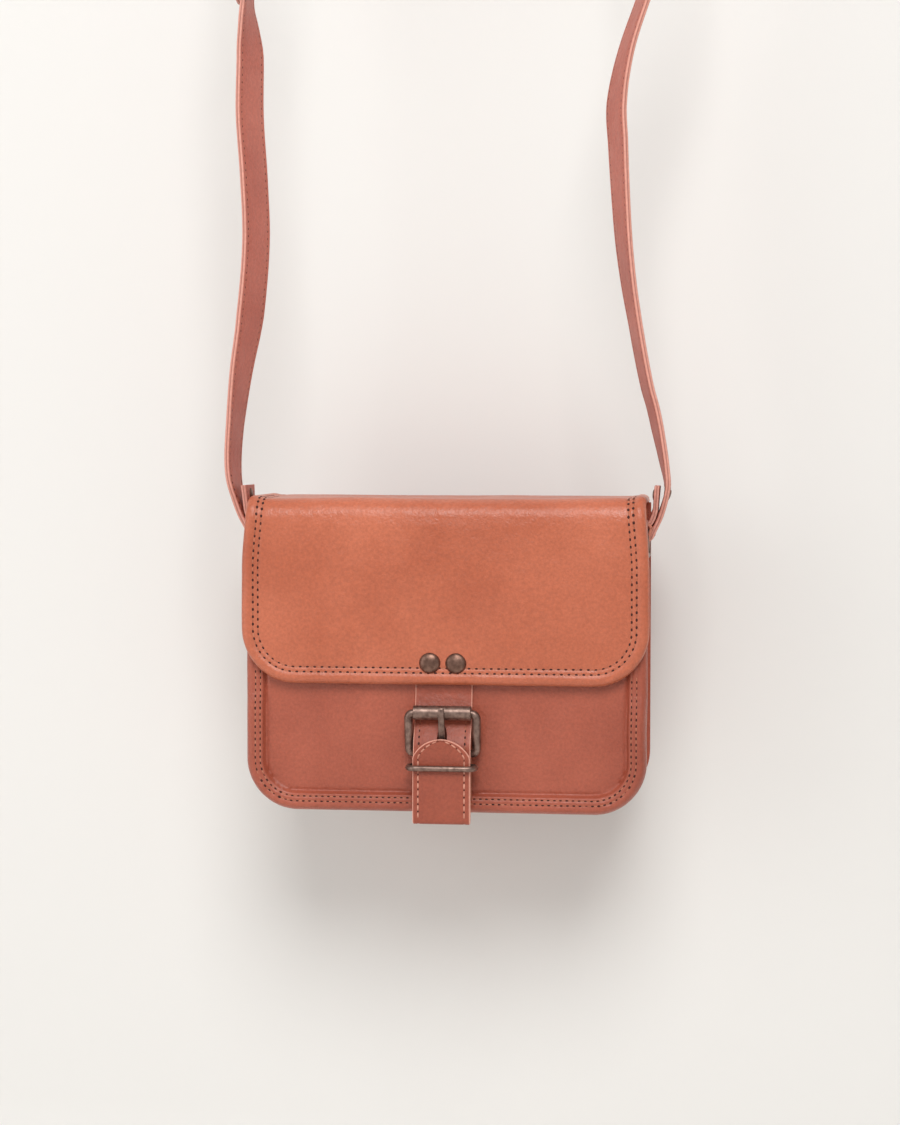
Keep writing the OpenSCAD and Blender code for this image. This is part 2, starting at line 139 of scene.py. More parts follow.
# ---- Light ----
# One broad soft light high and a little to the right, a weaker one far to the left, and an even pale room.
scene = bpy.context.scene
scene.view_settings.view_transform = "Standard"
world = bpy.data.worlds.new("room")
scene.world = world
world.use_nodes = True
world.node_tree.nodes["Background"].inputs["Color"].default_value = srgb(246, 246, 248)
world.node_tree.nodes["Background"].inputs["Strength"].default_value = 0.47


def soft_light(name, place, target, size, power):
    bpy.ops.object.select_all(action="DESELECT")
    bpy.ops.object.light_add(type="AREA", location=place)
    lamp = bpy.context.object
    lamp.name = name
    lamp.data.shape = "DISK"
    lamp.data.size = size
    lamp.data.energy = power
    lamp.rotation_mode = "QUATERNION"
    lamp.rotation_quaternion = (Vector(target) - Vector(place)).to_track_quat("-Z", "Y")
    return lamp


soft_light("window_light", (0.22, -1.68, 1.06), (0, 0, TOP - 0.05), 1.2, 35)
soft_light("fill_light", (-1.5, -1.1, -0.1), (0, 0, TOP - 0.05), 1.3, 7)

# ---- Front of the body ----
# Russet leather over the front. Its border is padded and stitched, so it stands puffed up round
# a flatter middle, and it is gathered where it turns the lower corners.
panel_low, panel_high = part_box("front_border")
HALF = panel_high[0]
LOW = panel_low[2]
corner_r = 22 * MM
seat_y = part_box("gusset")[0][1]
edge_steps = [
    0, 0.2, 0.5, 0.9, 1.4, 1.9, 2.5, 3.1, 3.7, 4.3, 4.8, 5.3, 5.8, 6.3, 6.8, 7.2, 7.6, 8.0, 8.4, 8.9, 9.6,
    10.6, 12
]
edge_steps = [step * MM for step in edge_steps]


def reach(z, half, low, r):
    """Half width of a panel with round lower corners, at height z."""
    drop = low + r - z
    if drop <= 0:
        return half
    return half - r + math.sqrt(max(r * r - drop * drop, 0))


def rim_distance(x, z, half, low, r):
    """How far a point lies in from the side or lower edge."""
    across, down = abs(x) - (half - r), low + r - z
    if across > 0 and down > 0:
        return r - math.hypot(across, down)
    return r - max(across, down)


def rim_travel(x, z, half, low, r):
    """How far round the edge a point lies, counted from the bottom middle."""
    across, down = abs(x) - (half - r), low + r - z
    quarter = r * math.pi / 2
    if across > 0 and down > 0:
        s = half - r + r * (math.pi / 2 - math.atan2(down, across))
    elif down > across:
        s = abs(x)
    else:
        s = half - r + quarter + (z - low - r)
    return math.copysign(s, x)


def across_points(w, middle):
    """Places across a row: close together near both edges, even between them."""
    left = [-w + step for step in edge_steps]
    inner = w - edge_steps[-1]
    between = [-inner + 2 * inner * k / middle for k in range(1, middle)]
    return left + between + [-x for x in reversed(left)]


def bump(d, centre, width):
    return math.exp(-((d - centre) / width) ** 2)


def ease(a, b, x):
    t = min(max((x - a) / (b - a), 0), 1)
    return t * t * (3 - 2 * t)


def ripple(x, y, z, size):
    """Smooth chance unevenness, from -1 to 1, for bumps of about that size."""
    return noise.noise(Vector((x, y, z)) / size)


front_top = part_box("front_panel")[1][2]
front_rows = [LOW + step for step in edge_steps]
front_rows += [LOW + (12 + k) * MM for k in range(1, 11)]
front_rows += [LOW + (22 + 1.5 * k) * MM for k in range(1, 25)]
front_rows += [front_rows[-1] + (front_top - front_rows[-1]) * k / 24 for k in range(1, 25)]
front_middle = 70
snap_z = (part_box("snap_socket")[0][2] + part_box("snap_socket")[1][2]) / 2


def front_height(x, z):
    """How far the front leather stands off the body's front seam."""
    d = rim_distance(x, z, HALF, LOW, corner_r)
    s = rim_travel(x, z, HALF, LOW, corner_r)
    shown = 1 - ease(TOP - 0.092, TOP - 0.078, z)
    puff = (3.5 + 1.5 * shown) * MM
    puff -= 0.8 * MM * bump(x, 0, 15 * MM) * shown
    roll = puff * math.sqrt(max(1 - (1 - min(d / (2.9 * MM), 1)) ** 2, 0))
    rise = ease(9.0 * MM, 7.2 * MM, d)
    flat = 2.35 * MM + 0.35 * MM * (1 - bump(d, 8 * MM, 20 * MM))
    height = roll * rise + flat * (1 - rise)
    height -= 1.2 * MM * bump(d, 8.2 * MM, 0.8 * MM)
    height -= 0.42 * MM * bump(d, 6.3 * MM, 0.65 * MM)
    height -= 0.3 * MM * bump(d, 4.2 * MM, 0.6 * MM)
    bent = bump(abs(s), HALF - corner_r + 17 * MM, 16 * MM)
    pleat = ripple(s, 0, 0.3, 4.5 * MM) * 0.24 + ripple(s, 0, 0.7, 2.1 * MM) * (0.08 + 0.14 * bent)
    height += pleat * MM * bump(d, 3.4 * MM, 3.0 * MM) * (0.5 + 0.9 * bent)
    height += ripple(x, 0, z, 26 * MM) * 0.22 * MM * ease(2 * MM, 12 * MM, d)
    seat = ease(11 * MM, 8 * MM, math.hypot(x, z - snap_z))
    return height + (2.15 * MM - height) * seat


def front_point(i, j):
    z = front_rows[j]
    wave = ripple(0.02 if i < 40 else 0.5, 0.1, z, 30 * MM) * 0.5 * MM * ease(LOW, LOW + 30 * MM, z)
    xs = across_points(reach(z, HALF, LOW, corner_r), front_middle)
    return (xs[i] + math.copysign(wave, xs[i]), seat_y - front_height(xs[i], z), z)


front_leather = shaped_sheet(
    "front_leather", len(edge_steps) * 2 + front_middle - 2, len(front_rows) - 1, front_point
)


def pick(piece):
    """Makes a piece the only selected one and the active one."""
    bpy.ops.object.select_all(action="DESELECT")
    piece.select_set(True)
    bpy.context.view_layer.objects.active = piece


def weld(gap=1e-6, slivers=None):
    """Merges the points that meet, in edit mode, turns all faces outward and leaves edit mode."""
    bpy.ops.mesh.select_all(action="SELECT")
    bpy.ops.mesh.remove_doubles(threshold=gap)
    if slivers is not None:
        bpy.ops.mesh.dissolve_degenerate(threshold=slivers)
    bpy.ops.mesh.normals_make_consistent(inside=False)
    bpy.ops.object.mode_set(mode="OBJECT")


def seal_flat(piece, y):
    """Carries a sheet's open edge back to a flat plane at y and closes it with a face."""
    pick(piece)
    bpy.ops.object.mode_set(mode="EDIT")
    bpy.ops.mesh.select_all(action="DESELECT")
    bpy.ops.mesh.select_mode(type="EDGE")
    bpy.ops.mesh.select_non_manifold()
    bpy.ops.mesh.extrude_edges_move()
    bpy.ops.transform.resize(value=(1, 0, 1), center_override=(0, y, 0))
    bpy.ops.mesh.edge_face_add()
    weld()


def smooth_faces(piece, angle=50):
    pick(piece)
    bpy.ops.object.shade_smooth_by_angle(angle=math.radians(angle))


def surface(name, rough=0.5):
    """A new material, with its node tree, its shader and the piece's own coordinates."""
    made = bpy.data.materials.new(name)
    made.use_nodes = True
    tree = made.node_tree
    skin = tree.nodes["Principled BSDF"]
    skin.inputs["Roughness"].default_value = rough
    return made, tree, skin, tree.nodes.new("ShaderNodeTexCoord").outputs["Object"]


def added(tree, kind, coords=None, **sockets):
    """A node with some of its sockets set, placed by coords if they are given."""
    node = tree.nodes.new("ShaderNode" + kind)
    for label, value in sockets.items():
        node.inputs[label].default_value = value
    if coords is not None:
        tree.links.new(coords, node.inputs["Vector"])
    return node


def tinted(tree, coords, scale, detail, dark, light, low=0.3, high=0.7):
    """Noise between two colours."""
    cloud = added(tree, "TexNoise", coords, Scale=scale, Detail=detail)
    ramp = tree.nodes.new("ShaderNodeValToRGB")
    for stop, place, colour in zip(ramp.color_ramp.elements, (low, high), (dark, light)):
        stop.position = place
        stop.color = colour
    tree.links.new(cloud.outputs["Fac"], ramp.inputs["Fac"])
    return ramp.outputs["Color"]


def mixed(tree, amount, under, over, blend="MIX"):
    """One colour over another. Each input is a value or another node's socket."""
    mix = tree.nodes.new("ShaderNodeMix")
    mix.data_type = "RGBA"
    mix.blend_type = blend
    for label, given in (("Factor", amount), ("A", under), ("B", over)):
        if isinstance(given, bpy.types.NodeSocket):
            tree.links.new(given, mix.inputs[label])
        else:
            mix.inputs[label].default_value = given
    return mix.outputs["Result"]


def attribute(tree, name):
    """A value stored on the piece's points."""
    node = tree.nodes.new("ShaderNodeAttribute")
    node.attribute_name = name
    return node.outputs["Fac"]


def relief(tree, height, strength, distance, under=None):
    """Bumps from a height, on top of the bumps under them."""
    bumps = added(tree, "Bump", Strength=strength, Distance=distance)
    tree.links.new(height, bumps.inputs["Height"])
    if under is not None:
        tree.links.new(under, bumps.inputs["Normal"])
    return bumps.outputs["Normal"]


def uneven_gloss(tree, skin, cloud, low, high):
    """Roughness that wanders between two values."""
    gloss = added(tree, "MapRange", **{"To Min": low, "To Max": high})
    tree.links.new(cloud.outputs["Fac"], gloss.inputs["Value"])
    tree.links.new(gloss.outputs["Result"], skin.inputs["Roughness"])


def leather(name, dark, light, rough=0.46, raw=None, seam=None):
    """Full-grain leather: mottled dye, creased grain, soft gloss, and pale raw edges if raw is given."""
    made, tree, skin, coords = surface(name)
    dye = tinted(tree, coords, 22, 5, dark, light, 0.16, 0.84)
    fine = tinted(tree, coords, 800, 6, (0.62, 0.6, 0.58, 1), (1.12, 1.1, 1.08, 1))
    colour = mixed(tree, 0.42, dye, fine, "MULTIPLY")
    if raw is not None:
        fibres = tinted(tree, coords, 900, 5, raw, tuple(min(c * 1.25, 1) for c in raw))
        colour = mixed(tree, attribute(tree, "raw_edge"), colour, fibres)
    if seam is not None:
        colour = mixed(tree, attribute(tree, "layer_line"), colour, seam)
    tree.links.new(colour, skin.inputs["Base Color"])
    shine = added(tree, "TexNoise", coords, Scale=90, Detail=5)
    uneven_gloss(tree, skin, shine, rough - 0.10, rough + 0.14)
    skin.inputs["Specular IOR Level"].default_value = 0.5
    cells = added(tree, "TexVoronoi", coords, Scale=760)
    cells.feature = "DISTANCE_TO_EDGE"
    creases = added(tree, "TexNoise", coords, Scale=160, Detail=8, Roughness=0.62)
    pores = relief(tree, cells.outputs["Distance"], 0.34, 0.0003)
    folds = relief(tree, creases.outputs["Fac"], 0.8, 0.0008, under=pores)
    tree.links.new(folds, skin.inputs["Normal"])
    return made


def coat(piece, material):
    """Gives a piece one material only."""
    piece.data.materials.clear()
    piece.data.materials.append(material)


def wear(piece, material):
    coat(piece, material)


seal_flat(front_leather, seat_y)
smooth_faces(front_leather, 60)
russet = leather("russet_leather", srgb(146, 68, 48), srgb(186, 98, 74), rough=0.37)
wear(front_leather, russet)
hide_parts("front_panel", "front_border")
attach(front_leather, "bag")

# ---- Stitches on the front border ----
# A saddle-stitched row follows the border a little outside its groove: pale waxed thread that dips
# into an awl hole at each end, shown as a dark bead of painted shade. One stitch is shaped once, then
# laid along every row of the bag.


def stitch_part(size, segments, rings):
    """Corner points and faces of a small rounded bead, its length along x."""
    bpy.ops.object.select_all(action="DESELECT")
    bpy.ops.mesh.primitive_uv_sphere_add(segments=segments, ring_count=rings, radius=1)
    bead = bpy.context.object
    corners = np.array([v.co[:] for v in bead.data.vertices])[:, [2, 0, 1]] * np.array(size) / 2
    faces = [tuple(face.vertices) for face in bead.data.polygons]
    bpy.data.objects.remove(bead)
    return corners, faces


def spaced(points, pitch):
    """Points along a route, a stitch apart, with the direction of the route at each."""
    points = np.array([list(p) for p in points])
    steps = np.linalg.norm(np.diff(points, axis=0), axis=1)
    travel = np.concatenate([[0], np.cumsum(steps)])
    count = max(int(travel[-1] / pitch), 1)
    at = (np.arange(count) + 0.5) * travel[-1] / count
    places = np.stack([np.interp(at, travel, points[:, k]) for k in range(3)], axis=1)
    ahead = np.stack([np.interp(at + 0.3 * pitch, travel, points[:, k]) for k in range(3)], axis=1)
    behind = np.stack([np.interp(at - 0.3 * pitch, travel, points[:, k]) for k in range(3)], axis=1)
    along = ahead - behind
    along /= np.linalg.norm(along, axis=1)[:, None]
    return places, along, at / travel[-1]


def stitch_rows(name, rows, pitch, thread=(1.8, 0.6, 0.5), hole=(1.45, 1.2, 0.36)):
    """Stitches along rows, each row a route with the outward direction at its points, as one piece."""
    parts = [
        (stitch_part([size * MM for size in thread], 6, 5), 0, 0.0, 0.06 * MM),
        # The second part is the awl hole: a dark bead sunk at the stitch's end, painted shade for the hole's
        # hollow.
        (stitch_part([size * MM for size in hole], 8, 4), 1, 0.5 * pitch, 0.03 * MM),
    ]
    corners, faces, finish = [], [], []
    for route, outward in rows:
        places, along, share = spaced(route, pitch)
        outward = np.array([list(o) for o in outward])
        near = np.rint(share * (len(outward) - 1)).astype(int)
        for k, place in enumerate(places):
            up = outward[near[k]] - along[k] * np.dot(outward[near[k]], along[k])
            up /= np.linalg.norm(up)
            turn = np.stack([along[k], np.cross(up, along[k]), up], axis=1)
            for (part_corners, part_faces), kind, shift, sink in parts:
                first = len(corners)
                corners += list(part_corners @ turn.T + place + along[k] * shift - up * sink)
                faces += [tuple(v + first for v in face) for face in part_faces]
                finish += [kind] * len(part_faces)
    mesh = bpy.data.meshes.new(name)
    mesh.from_pydata([tuple(c) for c in corners], [], faces)
    mesh.polygons.foreach_set("material_index", finish)
    mesh.polygons.foreach_set("use_smooth", [True] * len(faces))
    mesh.materials.append(thread_finish)
    mesh.materials.append(hole_shade_finish)
    mesh.update()
    piece = bpy.data.objects.new(name, mesh)
    bpy.context.scene.collection.objects.link(piece)
    return piece


thread_finish, tree, skin, coords = surface("waxed_thread", 0.6)
strands = added(tree, "TexWave", coords, Scale=700, Distortion=2)
tree.links.new(relief(tree, strands.outputs["Fac"], 0.4, 0.0002), skin.inputs["Normal"])
wax = tinted(tree, coords, 300, 3, srgb(150, 84, 58), srgb(192, 124, 94))
tree.links.new(wax, skin.inputs["Base Color"])
# Painted shade: the awl-hole beads are near black to stand for the shade inside each hole.
hole_shade_finish, tree, skin, coords = surface("awl_hole_painted_shade", 0.9)
shade = tinted(tree, coords, 600, 3, srgb(44, 16, 12), srgb(74, 30, 22))
tree.links.new(shade, skin.inputs["Base Color"])


def rim_route(half, low, r, inset, top, step=1.5 * MM):
    """Points down one side, round the bottom and up the other side, a set distance in from the edge."""
    side, bend = half - inset, r - inset
    down = np.arange(top, low + r, -step)
    right = [(side, z) for z in reversed(down)]
    turns = np.linspace(0, math.pi / 2, 14)
    corner = [(half - r + bend * math.cos(t), low + r - bend * math.sin(t)) for t in turns]
    bottom = [(x, low + inset) for x in np.linspace(half - r, -half + r, 60)]
    back = [(-x, z) for x, z in reversed(corner)]
    return [(x, z) for x, z in reversed(right)] + corner + bottom + back + [(-x, z) for x, z in right]


border_rows = []
for inset in (4.2 * MM, 6.3 * MM):
    border_route = rim_route(HALF, LOW, corner_r, inset, TOP - 0.074)
    border_points = [(x, seat_y - front_height(x, z), z) for x, z in border_route]
    border_rows.append((border_points, [(0, -1, 0)] * len(border_points)))
border_stitches = stitch_rows("border_stitches", border_rows, 2.6 * MM)
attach(border_stitches, "bag")

# ---- Sides and bottom ----
# One strip of tan leather runs down one side, under the bag and up the other. It is sewn between
# the front and the back, so it is held out at its seams and sinks in between them.
gusset_front, gusset_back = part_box("gusset")[0][1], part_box("gusset")[1][1]
gusset_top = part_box("gusset")[1][2]
strip_route = rim_route(HALF, LOW, corner_r, 0, gusset_top, 3 * MM)
strip_route = [(-x, z) for x, z in strip_route]
strip_columns = 26


def strip_point(i, j):
    x, z = strip_route[j]
    ahead = strip_route[min(j + 1, len(strip_route) - 1)]
    behind = strip_route[max(j - 1, 0)]
    run = Vector((ahead[0] - behind[0], 0, ahead[1] - behind[1])).normalized()
    inward = Vector((-run.z, 0, run.x))
    if inward.dot(Vector((x, 0, z - LOW - 0.05))) > 0:
        inward.negate()
    t = 2 * i / strip_columns - 1
    hollow = 1.4 if abs(inward.z) > 0.7 else 3.75
    sink = (1.7 + hollow * (1 - abs(t) ** 3)) * MM
    wrinkle = ripple(0.3, t * 0.02, j * 0.003, 14 * MM) * 0.5 * MM * (1 - t * t)
    sink += 1.3 * MM * (1 - abs(t)) ** 0.5 * ease(TOP - 34 * MM, TOP - 24 * MM, z)
    y = (gusset_front + gusset_back) / 2 + t * (gusset_back - gusset_front) / 2
    return Vector((x, y, z)) + inward * (sink + wrinkle)


gusset_leather = shaped_sheet("gusset_leather", strip_columns, len(strip_route) - 1, strip_point)


def add_wall(piece, thick):
    """Gives a sheet a real thickness behind its outer face."""
    pick(piece)
    wall = piece.modifiers.new("wall", "SOLIDIFY")
    wall.thickness = thick
    wall.offset = -1
    bpy.ops.object.modifier_apply(modifier="wall")


add_wall(gusset_leather, 1.6 * MM)
smooth_faces(gusset_leather)
tan = leather("tan_leather", srgb(170, 84, 54), srgb(208, 118, 86), rough=0.33)
wear(gusset_leather, tan)
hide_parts("gusset")
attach(gusset_leather, "bag")

# ---- Back of the body ----
# A plain russet panel with a rolled seam round its edge. It is flat where it rests against the
# wearer and only gives a little in the middle.
back_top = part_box("back_panel")[1][2]
back_seat = gusset_back
back_rows = [LOW + step for step in edge_steps]
back_rows += [LOW + (12 + 1.25 * k) * MM for k in range(1, 9)]
back_rows += [back_rows[-1] + (back_top - back_rows[-1]) * k / 40 for k in range(1, 41)]
back_middle = 40


def back_height(x, z):
    d = rim_distance(x, z, HALF, LOW, corner_r)
    roll = 2.3 * MM * math.sqrt(max(1 - (1 - min(d / (2.0 * MM), 1)) ** 2, 0))
    height = roll - 0.55 * MM * bump(d, 4.6 * MM, 0.9 * MM) - 0.2 * MM * ease(3 * MM, 6 * MM, d)
    return height + ripple(x, 3.0, z, 30 * MM) * 0.2 * MM * ease(6 * MM, 16 * MM, d)


def back_point(i, j):
    z = back_rows[j]
    x = -across_points(reach(z, HALF, LOW, corner_r), back_middle)[i]
    return (x, back_seat + back_height(x, z), z)


back_leather = shaped_sheet(
    "back_leather", len(edge_steps) * 2 + back_middle - 2, len(back_rows) - 1, back_point
)
seal_flat(back_leather, back_seat)
smooth_faces(back_leather, 60)
wear(back_leather, russet)
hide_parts("back_panel", "back_border")
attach(back_leather, "bag")
back_route = rim_route(HALF, LOW, corner_r, 4.6 * MM, back_top - 0.016)
back_points = [(x, back_seat + back_height(x, z), z) for x, z in back_route]
back_stitches = stitch_rows("back_stitches", [(back_points, [(0, 1, 0)] * len(back_points))], 3.2 * MM)
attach(back_stitches, "bag")

# ---- Flap ----
# One piece of tan leather, lined, with a rolled edge. It is sewn to the top of the back, lies over
# the opening and turns down over a soft front fold.
flap_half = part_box("flap_edge_roll")[1][0]
flap_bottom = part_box("flap_edge_roll")[0][2]
flap_corner = 23 * MM
flap_back = flap_high[1] + 1.6 * MM
fold_r = 9 * MM
turn_r = 2.6 * MM
flap_wall = 3.1 * MM
flap_section = [(FRONT, flap_bottom + step) for step in edge_steps]
flap_section += [(FRONT, flap_bottom + (12 + 1.1 * k) * MM) for k in range(1, 11)]
drop_rest = flap_section[-1][1]
flap_section += [(FRONT, drop_rest + (TOP - fold_r - drop_rest) * k / 30) for k in range(1, 30)]
flap_section += [
    (FRONT + fold_r - fold_r * math.cos(t), TOP - fold_r + fold_r * math.sin(t))
    for t in np.linspace(0, math.pi / 2, 12)
]
flap_section += [(FRONT + fold_r + (flap_back - turn_r - FRONT - fold_r) * k / 20, TOP) for k in range(1, 20)]
flap_section += [
    (flap_back - turn_r + turn_r * math.sin(t), TOP - turn_r + turn_r * math.cos(t))
    for t in np.linspace(0, math.pi / 2, 9)
]
flap_section += [(flap_back, TOP - turn_r - 1.7 * MM * k) for k in range(1, 8)]
flap_middle = 72


def flap_half_at(y, z):
    """Half width of the flap: round at the lower corners, a little narrower over the top."""
    if y > FRONT + 2 * MM:
        return flap_half - (1.7 if y < flap_back - 4 * MM else 2.2) * MM
    w = reach(z, flap_half, flap_bottom, flap_corner)
    return w - 1.7 * MM * ease(TOP - 0.030, TOP - 0.002, z)


def flap_lift(x, y, z):
    """Height of the flap's outer face over its plain section."""
    if z < TOP - fold_r:
        half = flap_half_at(y, z) if z > flap_bottom + flap_corner else flap_half
        d = rim_distance(x, z, half, flap_bottom, flap_corner)
    else:
        d = flap_half_at(y, z) - abs(x)
    on_back = ease(flap_back - 6 * MM, flap_back, y)
    lift = -1.9 * MM + 2.75 * MM * math.sqrt(max(1 - (1 - min(d / (2.4 * MM), 1)) ** 2, 0))
    lift = lift * (1 - 0.6 * on_back)
    bead = 0.15 * MM * bump(d, 3.4 * MM, 1.2 * MM) - 0.85 * MM * ease(2.6 * MM, 8.5 * MM, d)
    lift += bead * (1 - on_back)
    lift -= 0.28 * MM * (bump(d, 5.0 * MM, 0.7 * MM) + bump(d, 7.1 * MM, 0.7 * MM)) * (1 - on_back)
    belly = math.cos(min(abs(x) / flap_half, 1) * math.pi / 2)
    if z < TOP - fold_r:
        hang = math.sin(min((TOP - z) / (TOP - flap_bottom), 1) * math.pi)
        lift += 0.8 * MM * belly * hang
    elif y > FRONT + fold_r:
        lift -= 0.9 * MM * belly * math.sin(min((y - FRONT) / (flap_back - FRONT), 1) * math.pi)
    lift += ripple(x, y, z, 34 * MM) * 0.45 * MM * ease(3 * MM, 14 * MM, d)
    lift += ripple(x, y + 4, z, 9 * MM) * 0.06 * MM
    return lift


def flap_frame(j):
    """Place and outward direction of the flap's plain section at a row."""
    y, z = flap_section[j]
    ahead, behind = flap_section[min(j + 1, len(flap_section) - 1)], flap_section[max(j - 1, 0)]
    run = Vector((0, ahead[0] - behind[0], ahead[1] - behind[1])).normalized()
    return y, z, Vector((0, -run.z, run.y))


def flap_point(i, j):
    y, z, out = flap_frame(j)
    x = across_points(flap_half_at(y, z), flap_middle)[i]
    low = ease(flap_bottom, flap_bottom + 0.03, z)
    sway = ripple(0.2 + math.copysign(0.1, x), y, z, 34 * MM) * 0.7 * MM * low
    return Vector((x + math.copysign(sway, x) * abs(x) / flap_half, y, z)) + out * flap_lift(x, y, z)


flap_skin = shaped_sheet(
    "flap_skin", len(edge_steps) * 2 + flap_middle - 2, len(flap_section) - 1, flap_point
)
add_wall(flap_skin, flap_wall)
smooth_faces(flap_skin, 60)
wear(flap_skin, tan)
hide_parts("flap_leather", "flap_lining", "flap_edge_roll")
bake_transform(flap_skin)


def flap_row(inset):
    """A stitch row round the flap front, a set distance in from its edge."""
    route = rim_route(flap_half, flap_bottom, flap_corner, inset, TOP - fold_r)
    points, outward = [], []
    for x, z in route:
        x = math.copysign(min(abs(x), flap_half_at(FRONT, z) - inset), x)
        points.append((x, FRONT - flap_lift(x, FRONT, z), z))
        outward.append((0, -1, 0))
    over = [flap_frame(j) for j in range(len(flap_section))]
    over = [(y, z, out) for y, z, out in over if z > TOP - fold_r + 0.4 * MM and y < flap_back - 16 * MM]
    over.sort(key=lambda frame: frame[0] + frame[1])
    for start in (True, False):
        side = math.copysign(1, points[0 if start else -1][0])
        top = []
        for y, z, out in over:
            x = side * (flap_half_at(y, z) - inset)
            top.append((Vector((x, y, z)) + out * flap_lift(x, y, z), tuple(out)))
        if start:
            points = [tuple(p) for p, _ in reversed(top)] + points
            outward = [o for _, o in reversed(top)] + outward
        else:
            points = points + [tuple(p) for p, _ in top]
            outward = outward + [o for _, o in top]
    return points, outward


flap_stitches = stitch_rows("flap_stitches", [flap_row(5.0 * MM), flap_row(7.1 * MM)], 3.1 * MM)
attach(flap_stitches, "flap")

# ---- Closure strap ----
# A tan strap comes from under the flap, runs behind the roller and over the buckle's bar, passes
# under the wire keeper, turns at the bottom and comes back up over itself to a round tip.
closure_low, closure_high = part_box("closure_strap")
closure_w = closure_high[0] - closure_low[0]
layer_t = 1.6 * MM
pivot_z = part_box("buckle_chape")[1][2] - 2.8 * MM
pivot_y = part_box("buckle_chape")[1][1] - 2.8 * MM
layer_y = pivot_y - 3.9 * MM
tail_y = layer_y - 1.9 * MM
tail_top = pivot_z + 6.8 * MM


def curve_through(points, steps):
    """A smooth run through a few given places."""
    points = [Vector(p) for p in points]
    ends = [points[0] * 2 - points[1]] + points + [points[-1] * 2 - points[-2]]
    run = []
    for a, b, c, d in zip(ends, ends[1:], ends[2:], ends[3:]):
        for k in range(steps):
            t = k / steps
            run.append(0.5 * (
                2 * b + (c - a) * t + (2 * a - 5 * b + 4 * c - d) * t * t
                + (3 * b - a - 3 * c + d) * t ** 3
            ))
    return run + [points[-1]]


def heading(route, k):
    """Direction of a route at one of its points."""
    return (route[min(k + 1, len(route) - 1)] - route[max(k - 1, 0)]).normalized()


def band_section(half, thick, row_in):
    """Cross-section of a strap, all the way round: place across, height, raw edge, line between layers."""
    half = max(half, 0.02 * MM)
    soft = min(0.3 * thick, half)
    dip = -half + row_in
    marks = [-half + soft, dip - 0.7 * MM, dip, dip + 0.7 * MM, -half * 0.45]
    marks = [min(m, -0.01 * MM) for m in marks]
    face = [(m, thick / 2 - (0.14 * MM if k == 2 else 0), 0, 0) for k, m in enumerate(marks)]
    crown = [(0, thick / 2, 0, 0)]
    top = face + crown + [(-m, h, raw, line) for m, h, raw, line in reversed(face)]
    inset = min(0.12 * thick, half)
    side = [
        (half - inset * 0.9, thick * 0.42, 1, 0), (half, thick * 0.2, 1, 0), (half - inset * 0.35, 0, 1, 1),
        (half, -thick * 0.2, 1, 0), (half - inset * 0.9, -thick * 0.42, 1, 0),
    ]
    under = [(m, -h, raw, line) for m, h, raw, line in reversed(top)]
    other = [(-m, -h, raw, line) for m, h, raw, line in side]
    ring = top + side + under + other
    return ring + ring[:1]


def leather_band(name, route, facing, halves, thick, row_in=2.3 * MM, closed=False):
    """A strap along a route. facing is the outward direction and halves the half width at each point."""
    route = [Vector(p) for p in route]
    count = len(route)
    around = len(band_section(1, thick, row_in)) - 1
    frames = []
    for j in range(count):
        run = heading(route, j)
        if closed and j in (0, count - 1):
            run = (route[1] - route[count - 2]).normalized()
        out = (Vector(facing[j]) - run * run.dot(Vector(facing[j]))).normalized()
        frames.append((route[j], run.cross(out), out))
    rows = list(range(count)) if closed else [0] + list(range(count)) + [count - 1]
    raw, line = [], []

    def place(i, j):
        centre, side, out = frames[rows[j]]
        across, height, is_raw, is_line = band_section(halves[rows[j]], thick, row_in)[i]
        cap = not closed and j in (0, len(rows) - 1)
        raw.append(1.0 if cap else is_raw)
        line.append(0.0 if cap else is_line)
        return centre + side * across * (0.9 if cap else 1) + out * height * (0 if cap else 1)

    band = shaped_sheet(name, around, len(rows) - 1, place)
    for label, values in (("raw_edge", raw), ("layer_line", line)):
        band.data.attributes.new(label, "FLOAT", "POINT").data.foreach_set("value", values)
    bpy.ops.object.mode_set(mode="EDIT")
    weld()
    smooth_faces(band, 55)
    rows_of_stitches = []
    for s in (-1, 1):
        for f in (-1, 1):
            points, outward = [], []
            for (centre, side, out), half in zip(frames, halves):
                if half > row_in + 1 * MM:
                    points.append(centre + side * s * (half - row_in) + out * f * (thick / 2 - 0.14 * MM))
                    outward.append(out * f)
            rows_of_stitches.append((points, outward))
    return band, rows_of_stitches


down_route = [
    (0, closure_high[1] - layer_t / 2, TOP - 0.066), (0, closure_high[1] - layer_t / 2, TOP - 0.080),
    (0, pivot_y + 3.5 * MM, pivot_z + 23 * MM), (0, pivot_y + 2.2 * MM, pivot_z + 17.4 * MM),
    (0, pivot_y + 1.1 * MM, pivot_z + 13 * MM), (0, pivot_y - 2.4 * MM, pivot_z + 7 * MM),
    (0, layer_y, pivot_z + 2.8 * MM), (0, layer_y, pivot_z - 4 * MM), (0, layer_y, pivot_z - 14 * MM),
    (0, layer_y + 0.3 * MM, closure_low[2] + 4 * MM), (0, layer_y, closure_low[2] + 1.8 * MM),
]
turn_mid = (layer_y + tail_y) / 2
bottom_turn = [
    (0, turn_mid + 0.95 * MM * math.cos(t), closure_low[2] + (1.8 - 0.95 * math.sin(t)) * MM)
    for t in np.linspace(0.4, math.pi - 0.4, 6)
]
up_route = [
    (0, tail_y, closure_low[2] + 1.8 * MM), (0, tail_y - 0.35 * MM, closure_low[2] + 8 * MM),
    (0, tail_y - 0.1 * MM, pivot_z - 10 * MM), (0, tail_y, pivot_z - 4 * MM),
    (0, tail_y - 0.8 * MM, tail_top - 4 * MM),
    (0, tail_y - 1.7 * MM, tail_top),
]
closure_run = curve_through(down_route, 5)[:-1] + [Vector(p) for p in bottom_turn]
